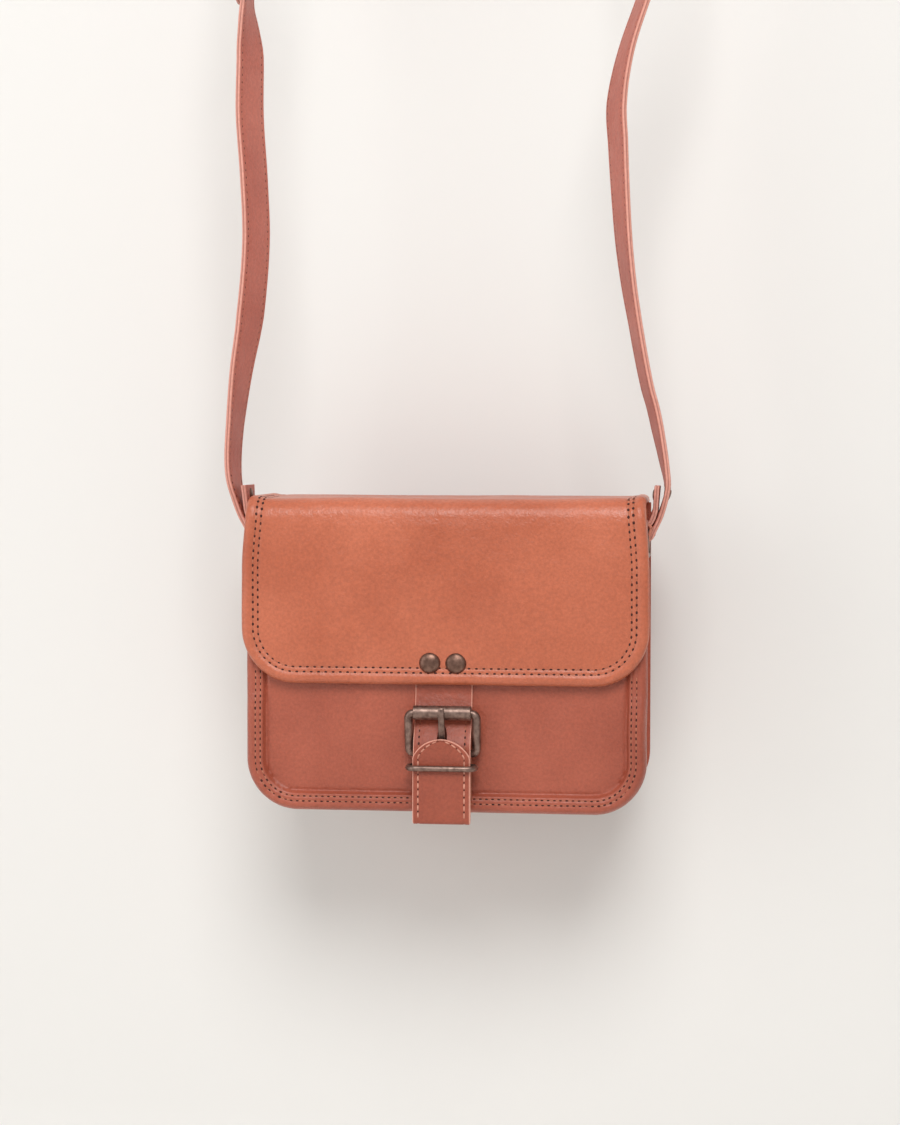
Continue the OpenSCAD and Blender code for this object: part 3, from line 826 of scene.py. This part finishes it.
closure_run += curve_through(up_route, 8)
fine_tip = [closure_run[-1] + (closure_run[-9] - closure_run[-1]) * (k / 24) for k in range(24, -1, -1)]
closure_run = closure_run[:-9] + fine_tip
tip_r = 13.4 * MM


def tip_half(distance, half, r):
    """Half width near a round tip, at a distance from its end."""
    if distance >= r:
        return half
    return min(half, math.sqrt(max(r * r - (r - distance) ** 2, 0)))


closure_facing, closure_halves = [], []
for k, point in enumerate(closure_run):
    along = heading(closure_run, k)
    closure_facing.append(Vector((0, along.z, -along.y)))
    on_tail = k > len(closure_run) - 40 and point.z > closure_low[2] + 8 * MM
    closure_halves.append(tip_half(tail_top - point.z, closure_w / 2, tip_r) if on_tail else closure_w / 2)
closure_leather, closure_rows = leather_band(
    "closure_leather", closure_run, closure_facing, closure_halves, layer_t, 2.4 * MM
)
bpy.ops.object.select_all(action="DESELECT")
bpy.ops.mesh.primitive_cylinder_add(
    vertices=40, radius=1, depth=1, location=(0, pivot_y - 1.22 * MM, pivot_z + 4.9 * MM)
)
punch = bpy.context.object
punch.scale = (2.2 * MM, 7.6 * MM, 7.4 * MM)
punch.rotation_euler = (math.pi / 2, 0, 0)
cut = closure_leather.modifiers.new("prong_slot", "BOOLEAN")
cut.operation = "DIFFERENCE"
cut.solver = "EXACT"
cut.object = punch
pick(closure_leather)
bpy.ops.object.modifier_apply(modifier="prong_slot")
bpy.data.objects.remove(punch, do_unlink=True)
pale_edge = srgb(222, 160, 140)
strap_tan = leather("closure_leather", srgb(140, 62, 42), srgb(174, 88, 64), rough=0.44, raw=pale_edge)
wear(closure_leather, strap_tan)
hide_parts("closure_strap", "closure_anchor")
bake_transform(closure_leather)
turn_at = min(range(len(closure_rows[0][0])), key=lambda k: closure_rows[0][0][k].z)
above_turn = closure_low[2] + 2.4 * MM
strap_rows, tail_rows = [], []
for number, (points, outward) in enumerate(closure_rows):
    on_tail = number % 2 == 0
    kept = [
        k for k, p in enumerate(points)
        if p.z > above_turn and (k > turn_at if on_tail else 14 < k < turn_at)
    ]
    row = ([points[k] for k in kept], [outward[k] for k in kept])
    (tail_rows if on_tail else strap_rows).append(row)
closure_stitches = stitch_rows(
    "closure_stitches", strap_rows, 2.8 * MM, thread=(1.7, 0.5, 0.4), hole=(1.3, 1.0, 0.3)
)
tail_stitches = stitch_rows(
    "closure_tail_stitches", tail_rows, 3.0 * MM, thread=(2.5, 0.85, 0.7), hole=(0.9, 0.9, 0.3)
)
pale_thread = thread_finish.copy()
pale_thread.name = "pale_thread"
for node in pale_thread.node_tree.nodes:
    if node.type == "VALTORGB":
        node.color_ramp.elements[0].color = srgb(186, 118, 96)
        node.color_ramp.elements[1].color = srgb(222, 160, 138)
tail_stitches.data.materials[0] = pale_thread
for piece in (closure_stitches, tail_stitches):
    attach(piece, "closure")

# ---- Buckle's leather loop ----
# A short doubled piece of leather holds the buckle's bar in its fold, with the wire keeper
# between its layers. The magnetic snap is fixed to its back.
chape_low, chape_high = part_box("buckle_chape")
chape_r = 2.2 * MM
leg_end, turn_end = 11, 24  # points: up the back layer, then round the bar
chape_run = [Vector((0, pivot_y + chape_r, chape_low[2] + 1.5 * MM * k)) for k in range(13)]
chape_run = [p for p in chape_run if p.z < pivot_z]
chape_run += [
    Vector((0, pivot_y + chape_r * math.cos(t), pivot_z + chape_r * math.sin(t)))
    for t in np.linspace(0, math.pi, 12)
]
chape_run += [Vector((0, pivot_y - chape_r, p.z)) for p in reversed(chape_run[:leg_end])]
chape_facing = []
for k, point in enumerate(chape_run):
    round_bar = Vector((0, point.y - pivot_y, point.z - pivot_z))
    straight = Vector((0, 1, 0)) if k < leg_end else Vector((0, -1, 0))
    chape_facing.append(round_bar if leg_end <= k < turn_end else straight)
chape_leather = leather_band(
    "chape_leather", chape_run, chape_facing, [chape_high[0]] * len(chape_run), 1.15 * MM, 2.2 * MM
)[0]
dark_leather = leather(
    "edge_leather", srgb(112, 52, 34), srgb(150, 76, 54), rough=0.5, raw=srgb(176, 108, 84)
)
wear(chape_leather, dark_leather)
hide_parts("buckle_chape")
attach(chape_leather, "closure")

# ---- Shoulder strap ----
# Two flat straps of doubled, edge-stitched leather. Each end narrows and turns round the bow of a
# side ring. The long one goes over the arch and comes down through the adjusting buckle.
strap_t = 2.2 * MM
turned_end, fine_from, tip_points = 24, 12, 30  # points: ring end, finely stepped end, round tip
ring_mid = (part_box("side_ring_right")[0][0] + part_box("side_ring_right")[1][0]) / 2
bow_r = 12 * MM
bow_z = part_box("side_tab_right")[1][2] - 2.7 * MM + bow_r
adjust_low, adjust_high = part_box("strap_buckle_roller")
bar_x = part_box("strap_buckle_prong")[1][0] - 2.68 * MM
bar_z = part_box("strap_buckle_frame")[0][2] + 1.87 * MM
tail_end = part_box("strap_keeper")[0][2] - 7 * MM
lay_x = bar_x - 2.9 * MM
over_x = lay_x - 2.9 * MM
behind_x = bar_x + 1.4 * MM
strap_red = leather(
    "strap_leather", srgb(166, 80, 64), srgb(202, 114, 95), rough=0.48, raw=srgb(206, 144, 128),
    seam=srgb(160, 96, 82)
)


def strap_route(places, steps=6):
    """A strap's run in x and height above the flap, as points in the bag's frame."""
    return curve_through([(x, 0, TOP + z) for x, z in places], steps)


def end_turn(side):
    """The inner end of a strap: round under the bow and up inside, in x and height above the flap."""
    mid = bow_z - TOP
    turn = [
        (side * (ring_mid + 2.7 * MM * math.cos(t)), mid - 2.7 * MM * math.sin(t))
        for t in np.linspace(0.1, math.pi - 0.1, 7)
    ]
    rise = [
        (HALF + 0.2 * MM, mid + 3.4 * MM), (HALF + 2.5 * MM, -5.2 * MM), (HALF + 3.1 * MM, -1 * MM),
        (HALF + 3.6 * MM, 5 * MM)
    ]
    return turn + [(side * x, z) for x, z in rise]


left_places = [(-HALF - dx * MM, z * MM) for dx, z in (
    (1.8, -13), (6.0, -5), (9.0, 4), (10.0, 15), (9.0, 31), (6.2, 54), (2.1, 78), (-0.6, 109), (0.2, 137),
    (1.9, 164), (1.6, 190),
)] + [(lay_x + 0.1 * MM, 0.209), (lay_x, 0.216), (lay_x, 0.229), (lay_x, bar_z - TOP - 1 * MM)]
arch = -TOP
right_places = [(HALF + dx * MM, z * MM) for dx, z in (
    (1.8, -13), (5.4, -5), (7.7, 4), (6.2, 15), (3.4, 29), (1.4, 38), (-1.1, 47), (-3.8, 60),
    (-6.3, 74), (-9, 90), (-11.3, 109), (-12.8, 130), (-13.8, 149), (-14.4, 167), (-10.3, 189),
    (-1.5, 215), (6, 240), (8, 265),
)] + [
    (HALF + 5 * MM, arch - 0.110), (HALF - 3 * MM, arch - 0.072), (HALF - 20 * MM, arch - 0.034),
    (HALF * 0.4, arch - 0.007), (0, arch + strap_t / 2), (-HALF * 0.4, arch - 0.007),
    (-HALF + 22 * MM, arch - 0.034), (-HALF + 8 * MM, arch - 0.068), (-HALF + 2 * MM, arch - 0.102),
    (behind_x - 0.6 * MM, 0.284), (behind_x, bar_z - TOP + 22 * MM),
    (behind_x, bar_z - TOP + 16 * MM), (behind_x - 3.4 * MM, bar_z - TOP + 10 * MM),
    (over_x + 0.6 * MM, bar_z - TOP + 4.6 * MM), (over_x, bar_z - TOP),
    (over_x, bar_z - TOP - 10 * MM), (over_x - 0.2 * MM, 0.221), (over_x, tail_end - TOP),
]
left_twist = [
    (-20, 0), (0, 1), (12, 4), (31, 6), (54, 13), (78, 20), (109, 20), (162, 21), (192, 19), (203, 9),
    (210, 1), (213, 0), (420, 0)
]
right_twist = [
    (-20, 0), (2, 2), (15, 8), (29, 12), (47, 13), (74, 14), (109, 19), (149, 23), (167, 24), (189, 20),
    (215, 18), (250, 8), (300, 0), (420, 0)
]


def taper(z):
    """Half width of a strap: narrow at the ring, full a little above it."""
    return (7 + 3 * ease(TOP - 9 * MM, TOP + 8 * MM, z)) * MM


def shoulder_band(name, side, places, twists, tip):
    """One shoulder strap with its turned end, its twist and its stitch rows."""
    start = [Vector((x, 0, TOP + z)) for x, z in reversed(end_turn(side))]
    run = curve_through(start, 3)[:-1] + strap_route(places)
    if tip:
        run = run[:-fine_from] + curve_through(run[-fine_from:], 3)
    facing, halves = [], []
    for k, point in enumerate(run):
        along = heading(run, k)
        out = Vector((along.z, 0, -along.x))
        turned = np.interp((point.z - TOP) / MM, [t[0] for t in twists], [t[1] for t in twists])
        on_leg = side * point.x > 0 and k > turned_end
        angle = math.radians(turned) if on_leg else 0
        facing.append(Matrix.Rotation(angle * side, 3, "Z") @ out)
        half = taper(point.z)
        if tip and k > len(run) - tip_points:
            half = tip_half((point - run[-1]).length, half, 12 * MM)
        halves.append(half)
    band, rows = leather_band(name, run, facing, halves, strap_t, 2.2 * MM)

    def conform(place):
        low = ease(TOP + 2 * MM, TOP - 9 * MM, place[2])
        drop = bow_r - math.sqrt(max(bow_r ** 2 - min(abs(place[1]), 9 * MM) ** 2, 0))
        return Vector((place[0], place[1], place[2] - drop * low))

    for vertex in band.data.vertices:
        vertex.co = conform(vertex.co)
    wear(band, strap_red)
    rows = [([conform(p) for p in points], outward) for points, outward in rows]
    stitches = stitch_rows(name + "_stitches", rows, 3.1 * MM, thread=(1.9, 0.5, 0.4), hole=(1.05, 0.75, 0.3))
    for piece in (band, stitches):
        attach(piece, "strap")
    return band


left_band = shoulder_band("strap_left_leather", -1, left_places, left_twist, False)
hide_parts("strap_left")
right_band = shoulder_band("strap_right_leather", 1, right_places, right_twist, True)
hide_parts("strap_right")

# ---- Strap keeper ----
# A short closed loop of dark leather round both layers of the strap, which slides to hold the tail.
keeper_low, keeper_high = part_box("strap_keeper")
keeper_mid_z = (keeper_low[2] + keeper_high[2]) / 2
keeper_wall = 1.3 * MM
loop_x = (keeper_low[0] + keeper_high[0]) / 2
loop_w = (keeper_high[0] - keeper_low[0]) / 2 - keeper_wall / 2
loop_d = (keeper_high[1] - keeper_low[1]) / 2 - keeper_wall / 2
loop_r = 1.6 * MM
loop_run, loop_facing = [], []
for k in range(4):
    mid = math.pi / 2 * k
    sx, sy = (1, 1, -1, -1)[k], (1, -1, -1, 1)[k]
    for t in np.linspace(math.pi / 2 - mid, -mid, 7):
        outward = Vector((math.cos(t), math.sin(t), 0))
        loop_run.append(
            Vector((loop_x + sx * (loop_w - loop_r), sy * (loop_d - loop_r), keeper_mid_z)) + outward * loop_r
        )
        loop_facing.append(outward)
loop_run.append(loop_run[0].copy())
loop_facing.append(loop_facing[0].copy())
slide_loop = leather_band(
    "strap_keeper_leather", loop_run, loop_facing, [3.9 * MM] * len(loop_run), keeper_wall, 1.2 * MM,
    closed=True
)[0]
wear(slide_loop, dark_leather)
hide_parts("strap_keeper")
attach(slide_loop, "sliding_keeper")

# ---- Side tabs ----
# A strip of dark leather folded round the straight bar of each side ring and riveted to the side.
tab_edge = leather("tab_leather", srgb(122, 58, 40), srgb(160, 84, 62), rough=0.5, raw=srgb(186, 118, 96))
for tab, side in (("side_tab_left", -1), ("side_tab_right", 1)):
    tab_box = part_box(tab)
    fold_r_mid = 2.05 * MM
    root = side * (HALF - 4.7 * MM)
    outer = side * (HALF - 3.2 * MM)
    tab_run = [Vector((root, 0, tab_box[0][2] + k * 1.8 * MM)) for k in range(11)]
    tab_run += [
        Vector((side * ring_mid - side * fold_r_mid * math.cos(t), 0, bow_z + fold_r_mid * math.sin(t)))
        for t in np.linspace(-0.3, math.pi + 0.3, 15)
    ]
    tab_run += [Vector((outer, 0, tab_box[0][2] + k * 1.8 * MM)) for k in range(10, -1, -1)]
    tab_run = curve_through(tab_run, 2)
    tab_facing = []
    for k, point in enumerate(tab_run):
        along = heading(tab_run, k)
        tab_facing.append(Vector((-along.z, 0, along.x)) * side)
    tab_leather = leather_band(
        tab + "_leather", tab_run, tab_facing, [(tab_box[1][1] - tab_box[0][1]) / 2] * len(tab_run),
        1.35 * MM, 1.8 * MM
    )[0]
    wear(tab_leather, tab_edge)
    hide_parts(tab)
    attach(tab_leather, "bag")

# ---- Brass ----
# The rings and snap discs are cast brass with a dark antique finish, worn brighter in patches.


def brass_metal(name, dark, light, rough=0.36):
    """Antique brass: brown patina and duller, brighter worn patches, spread at random."""
    made, tree, skin, coords = surface(name)
    skin.inputs["Metallic"].default_value = 0.85
    tree.links.new(tinted(tree, coords, 420, 6, dark, light, 0.26, 0.74), skin.inputs["Base Color"])
    worn = added(tree, "TexNoise", coords, Scale=700, Detail=6)
    uneven_gloss(tree, skin, worn, rough - 0.1, rough + 0.2)
    tree.links.new(relief(tree, worn.outputs["Fac"], 0.25, 0.0002), skin.inputs["Normal"])
    return made


brass = brass_metal("antique_brass", srgb(92, 70, 62), srgb(160, 134, 122))
for part in ("side_ring_left", "side_ring_right", "snap_socket", "snap_stud"):
    coat(bpy.data.objects[part], brass)

# ---- Rivets ----
# Domed brass caps pressed onto the flap, and small flat ones that close the folds and the tabs.


def button(name, places, radius, rise, rim):
    """Round caps with a low dome over a thin rim, one at each (centre of its foot, outward direction)."""
    profile = [
        (0.0, -0.3 * MM), (radius * 0.94, -0.3 * MM), (radius, 0.0), (radius, rim * 0.6), (radius * 0.95, rim)
    ]
    profile += [
        (radius * 0.93 * math.cos(t), rim + (rise - rim) * math.sin(t))
        for t in np.linspace(0.06, math.pi / 2 - 0.12, 12)
    ] + [(0.0, rise)]
    caps = []
    for centre, outward in places:
        out = Vector(outward).normalized()
        side = out.cross(Vector((0.1, 0.3, 1))).normalized()
        up = out.cross(side)

        def place(i, j):
            r, h = profile[j]
            a = 2 * math.pi * i / 48
            return Vector(centre) + (side * math.cos(a) + up * math.sin(a)) * r + out * h

        caps.append(shaped_sheet(name, 48, len(profile) - 1, place))
    return closed_metal(name, caps)


def closed_metal(name, pieces):
    """Joins shaped pieces, welds their seams and poles, and turns all faces outward."""
    pick(pieces[0])
    for piece in pieces[1:]:
        piece.select_set(True)
    if len(pieces) > 1:
        bpy.ops.object.join()
    bpy.ops.object.mode_set(mode="EDIT")
    weld(2e-6, slivers=1e-7)
    pieces[0].name = name
    smooth_faces(pieces[0], 40)
    return pieces[0]


rivet_low, rivet_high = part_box("flap_rivets")
rivet_r = (rivet_high[2] - rivet_low[2]) / 2
rivet_x = (rivet_high[0] - rivet_low[0]) / 2 - rivet_r
rivet_z = (rivet_low[2] + rivet_high[2]) / 2
flap_rivets = button(
    "flap_rivet_caps",
    [((s * rivet_x, rivet_low[1] + 2.6 * MM, rivet_z), (0, -1, 0.06)) for s in (-1, 1)],
    rivet_r, 2.3 * MM, 0.7 * MM,
)
rivet_metal = brass_metal("rivet_brass", srgb(84, 58, 48), srgb(138, 106, 92), rough=0.34)
wear(flap_rivets, rivet_metal)
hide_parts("flap_rivets")
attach(flap_rivets, "flap")
end_rivet_z = TOP + 1 * MM
end_caps = [((s * (HALF + 2.35 * MM), 0, end_rivet_z), (-s, 0, 0)) for s in (-1, 1)]
end_caps += [
    ((-HALF - 9.0 * MM, 0, end_rivet_z), (-1, 0, -0.35)), ((HALF + 8.1 * MM, 0, end_rivet_z), (1, 0, -0.35))
]
end_caps += [((bar_x + 3 * MM, y * MM, bar_z - 9 * MM), (1, 0, 0)) for y in (-5, 5)]
strap_rivets = button("strap_rivet_caps", end_caps, 2.6 * MM, 1.0 * MM, 0.3 * MM)
wear(strap_rivets, rivet_metal)
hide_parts("strap_end_rivets")
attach(strap_rivets, "strap")
tab_caps = [
    ((s * (HALF - 2.6 * MM), y * 3.6 * MM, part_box("tab_rivets")[0][2] + 2.4 * MM), (s, 0, 0))
    for s in (-1, 1) for y in (-1, 1)
]
tab_rivets = button("tab_rivet_caps", tab_caps, 2.4 * MM, 0.9 * MM, 0.3 * MM)
wear(tab_rivets, rivet_metal)
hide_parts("tab_rivets")
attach(tab_rivets, "bag")

# ---- Roller buckles ----
# Each buckle is a bent wire frame with a rolled sheet sleeve on its front bar and a flat prong that
# swings on its back bar. One closes the flap, the other sets the length of the shoulder strap.


def wire_ring(name, route, radii, sides=20):
    """A closed loop of round wire along a route, with a radius at each point."""
    count = len(route)
    frames, out = [], None
    for j in range(count):
        run = route[(j + 1) % (count - 1)] - route[(j - 1) % (count - 1)]
        run.normalize()
        out = run.orthogonal().normalized() if out is None else (out - run * run.dot(out)).normalized()
        frames.append((route[j], out, run.cross(out), radii[j]))
    frames[-1] = frames[0]

    def place(i, j):
        centre, a, b, r = frames[j]
        angle = 2 * math.pi * i / sides
        return centre + a * r * math.cos(angle) + b * r * math.sin(angle)

    return closed_metal(name, [shaped_sheet(name, sides, count - 1, place)])


def sleeve(name, place_local, r_in, r_out, half, seam=0.0):
    """A tube along the local x axis. seam cuts a narrow groove where a rolled sheet meets itself."""
    lip = 0.18 * MM
    profile = [
        (r_in, -half), (r_out - lip, -half), (r_out, -half + lip), (r_out, half - lip), (r_out - lip, half),
        (r_in, half)
    ]
    profile = profile + profile[:1]
    turns = 72

    def place(i, j):
        r, x = profile[j]
        angle = 2 * math.pi * i / turns + math.radians(25)
        if seam and r > r_in:
            away = min(i, turns - i)
            r -= seam * (1.0, 0.75, 0.15)[away] if away < 3 else 0
        return place_local(x, r * math.cos(angle), r * math.sin(angle))

    return closed_metal(name, [shaped_sheet(name, turns, len(profile) - 1, place)])


def roller_buckle(tag, place_local, in_w, lean, nodes, bodies):
    """Frame, sleeve and prong in the buckle's own axes: x along the bars, y back, z from bar to sleeve."""
    half_x = in_w + 1.8 * MM
    pitch = 17.4 * MM
    corner = 2.6 * MM
    local, radii = [], []
    for sx, sz, start in ((1, 0, -90), (1, 1, 0), (-1, 1, 90), (-1, 0, 180)):
        for t in np.linspace(math.radians(start), math.radians(start + 90), 8):
            pull = 0.5 * MM if sz == 0 else 0
            x = sx * (half_x - corner) + corner * math.cos(t)
            z = sz * pitch + (corner if sz == 0 else -corner) + corner * math.sin(t)
            local.append((x - sx * pull * (1 - abs(z / (pitch / 2) - 1)), z))
            radii.append(1.8 * MM)
    dense, dense_r = [], []
    for k in range(len(local)):
        (x0, z0), (x1, z1) = local[k], local[(k + 1) % len(local)]
        steps = max(1, int(math.hypot(x1 - x0, z1 - z0) / (0.9 * MM)))
        for n in range(steps):
            x, z = x0 + (x1 - x0) * n / steps, z0 + (z1 - z0) * n / steps
            dense.append((x, z))
            dense_r.append((1.8 - 0.32 * ease(in_w + 1.2 * MM, in_w - 0.6 * MM, abs(x))) * MM)
    dense.append(dense[0])
    dense_r.append(dense_r[0])
    route = [place_local(x, -lean * z / pitch, z) for x, z in dense]
    frame_bar = wire_ring(tag + "_frame_wire", route, dense_r)
    roll = sleeve(
        tag + "_roller_sleeve", lambda x, y, z: place_local(x, y - lean, z + pitch), 1.85 * MM, 3.0 * MM,
        in_w - 0.4 * MM, 0.42 * MM
    )
    end_y = -lean - 3.0 * MM - 1.25 * MM
    shape = curve_through([
        (0, -2.3 * MM, 0.9 * MM), (0, end_y * 0.42 - 0.3 * MM, pitch * 0.32), (0, end_y * 0.7, pitch * 0.6),
        (0, end_y, pitch * 0.92), (0, end_y - 0.15 * MM, pitch + 1.4 * MM),
        (0, end_y + 0.1 * MM, pitch + 2.3 * MM),
    ], 6)
    widths = [1.5 * MM * (1 - 0.22 * k / (len(shape) - 1)) for k in range(len(shape))]
    widths[-1] = 0.5 * MM
    widths[-2] = 0.9 * MM
    prong_rows = []
    for k, point in enumerate(shape):
        along = heading(shape, k)
        out = Vector((0, -along.z, along.y))
        prong_rows.append((point, out, widths[k], 0.82 * MM if k < len(shape) - 1 else 0.4 * MM))

    def prong_place(i, j):
        point, out, half, thick = prong_rows[min(max(j - 1, 0), len(prong_rows) - 1)]
        if j in (0, len(prong_rows) + 1):
            return place_local(*point)
        angle = 2 * math.pi * i / 24
        c, s = math.cos(angle), math.sin(angle)
        across = math.copysign(abs(c) ** 0.55, c) * half
        high = math.copysign(abs(s) ** 0.7, s) * thick
        return place_local(across, point.y + out.y * high, point.z + out.z * high)

    tongue = closed_metal(
        tag + "_tongue", [shaped_sheet(tag + "_tongue", 24, len(prong_rows) + 1, prong_place)]
    )
    eye = sleeve(tag + "_eye", place_local, 1.8 * MM, 2.95 * MM, 1.5 * MM)
    pick(tongue)
    eye.select_set(True)
    bpy.ops.object.join()
    tongue.name = tag + "_prong_strip"
    for piece, node, body in zip((frame_bar, roll, tongue), nodes, bodies):
        wear(piece, brass)
        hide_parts(node)
        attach(piece, body)


roller_low, roller_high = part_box("buckle_roller")
roller_y = (roller_low[1] + roller_high[1]) / 2
roller_buckle(
    "closure", lambda x, y, z: Vector((x, pivot_y + y, pivot_z + z)), 12.6 * MM, pivot_y - roller_y,
    ("buckle_frame", "buckle_roller", "buckle_prong"), ("buckle", "roller", "prong"),
)
strap_roller_x = (adjust_low[0] + adjust_high[0]) / 2
roller_buckle(
    "strap", lambda x, y, z: Vector((bar_x + y, -x, bar_z + z)), 10.6 * MM, bar_x - strap_roller_x,
    ("strap_buckle_frame", "strap_buckle_roller", "strap_buckle_prong"),
    ("adjuster", "adjuster_roller", "adjuster_prong"),
)

# ---- Wire keeper ----
# A thin bent wire loop under the buckle, round both layers of the closure strap.
wire_low, wire_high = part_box("keeper_loop")
wire_r = (wire_high[2] - wire_low[2]) / 2
wire_half = wire_high[0] - wire_r
wire_y = (wire_low[1] + wire_r, wire_high[1] - wire_r)
wire_z = (wire_low[2] + wire_high[2]) / 2
turn_r = (wire_y[1] - wire_y[0]) / 2 - 0.8 * MM
wire_route = []
for sx, sy, start in ((1, 1, 90), (1, -1, 0), (-1, -1, -90), (-1, 1, -180)):
    middle = Vector((sx * (wire_half - turn_r), (wire_y[0] + wire_y[1]) / 2 + sy * 0.8 * MM, wire_z))
    for t in np.linspace(math.radians(start), math.radians(start - 90), 9):
        wire_route.append(middle + Vector((math.cos(t), math.sin(t), 0)) * turn_r)
straight = wire_route[-1].lerp(wire_route[0], 0.5)
wire_route = [straight] + wire_route + [straight.copy()]
keeper_wire = wire_ring("keeper_wire", wire_route, [wire_r] * len(wire_route), sides=16)
wear(keeper_wire, brass)
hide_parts("keeper_loop")
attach(keeper_wire, "keeper")

# ---- Lining ----
# A loose bag of plain woven cotton, glued in round the mouth, with a stiff board under its floor.
pocket_low, pocket_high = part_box("lining")
pocket_half = pocket_high[0] - 0.4 * MM
pocket_mid = (pocket_low[1] + pocket_high[1]) / 2
pocket_d = (pocket_high[1] - pocket_low[1]) / 2 - 0.4 * MM
pocket_r = 8 * MM
pocket_turns = 120
wall_rows, floor_rows = 46, 12


def mouth_place(share):
    """Place on the lining's rounded outline and its outward direction, a share of the way round."""
    straight_x, straight_y = 2 * (pocket_half - pocket_r), 2 * (pocket_d - pocket_r)
    arc = math.pi / 2 * pocket_r
    travel = share * (2 * straight_x + 2 * straight_y + 4 * arc)
    x, y, heading = -straight_x / 2, -pocket_d, 0.0
    for length in (straight_x, straight_y, straight_x, straight_y):
        step = min(travel, length)
        x, y = x + math.cos(heading) * step, y + math.sin(heading) * step
        travel -= step
        if travel <= 0:
            break
        turn = min(travel, arc) / pocket_r
        centre = (x - math.sin(heading) * pocket_r, y + math.cos(heading) * pocket_r)
        heading += turn
        x, y = centre[0] + math.sin(heading) * pocket_r, centre[1] - math.cos(heading) * pocket_r
        travel -= turn * pocket_r
        if travel <= 1e-9:
            break
    return x, y, Vector((math.sin(heading), -math.cos(heading), 0))


def lining_point(i, j):
    x, y, out = mouth_place((i % pocket_turns) / pocket_turns)
    depth = min(j, wall_rows) / wall_rows
    z = pocket_high[2] + (pocket_low[2] + 3.4 * MM - pocket_high[2]) * depth
    narrow = max(0, TOP - 0.133 + 20 * MM - z) / (20 * MM)
    side_in = 1 - 0.12 * narrow ** 2
    slack = 0.9 + 0.9 * ripple(x, y, z * 0.6, 20 * MM) + 0.35 * ripple(x, y, z, 6 * MM)
    sag = slack * MM * ease(0, 0.12, depth)
    x, y = (x - out.x * sag) * side_in, y - out.y * sag
    if j > wall_rows:
        close = 1 - (j - wall_rows) / floor_rows
        x, y = x * close, pocket_mid + y * close
        z -= 0.4 * MM * (1 - close)
        return Vector((x, y, z + 0.25 * MM * ripple(x, y, z, 12 * MM)))
    return Vector((x, y + pocket_mid, z))


pocket_sheet = shaped_sheet("lining_pocket", pocket_turns, wall_rows + floor_rows, lining_point)
pocket = closed_metal("lining_pocket", [pocket_sheet])
add_wall(pocket, 0.5 * MM)
smooth_faces(pocket)
cotton, tree, skin, coords = surface("lining_cotton", 0.92)
skin.inputs["Specular IOR Level"].default_value = 0.15
cotton_dye = tinted(tree, coords, 140, 5, srgb(150, 118, 88), srgb(190, 160, 126))
tree.links.new(cotton_dye, skin.inputs["Base Color"])
crossing = tree.nodes.new("ShaderNodeMath")
crossing.operation = "MULTIPLY"
for socket, way in enumerate("XZ"):
    threads = added(tree, "TexWave", coords, Scale=420, Distortion=0.6)
    threads.bands_direction = way
    tree.links.new(threads.outputs["Fac"], crossing.inputs[socket])
tree.links.new(relief(tree, crossing.outputs["Value"], 0.4, 0.0002), skin.inputs["Normal"])
wear(pocket, cotton)
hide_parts("lining")
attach(pocket, "bag")
card, tree, skin, coords = surface("board_card", 0.88)
pulp = tinted(tree, coords, 320, 6, srgb(118, 96, 74), srgb(158, 134, 106))
tree.links.new(pulp, skin.inputs["Base Color"])
coat(bpy.data.objects["base_board"], card)
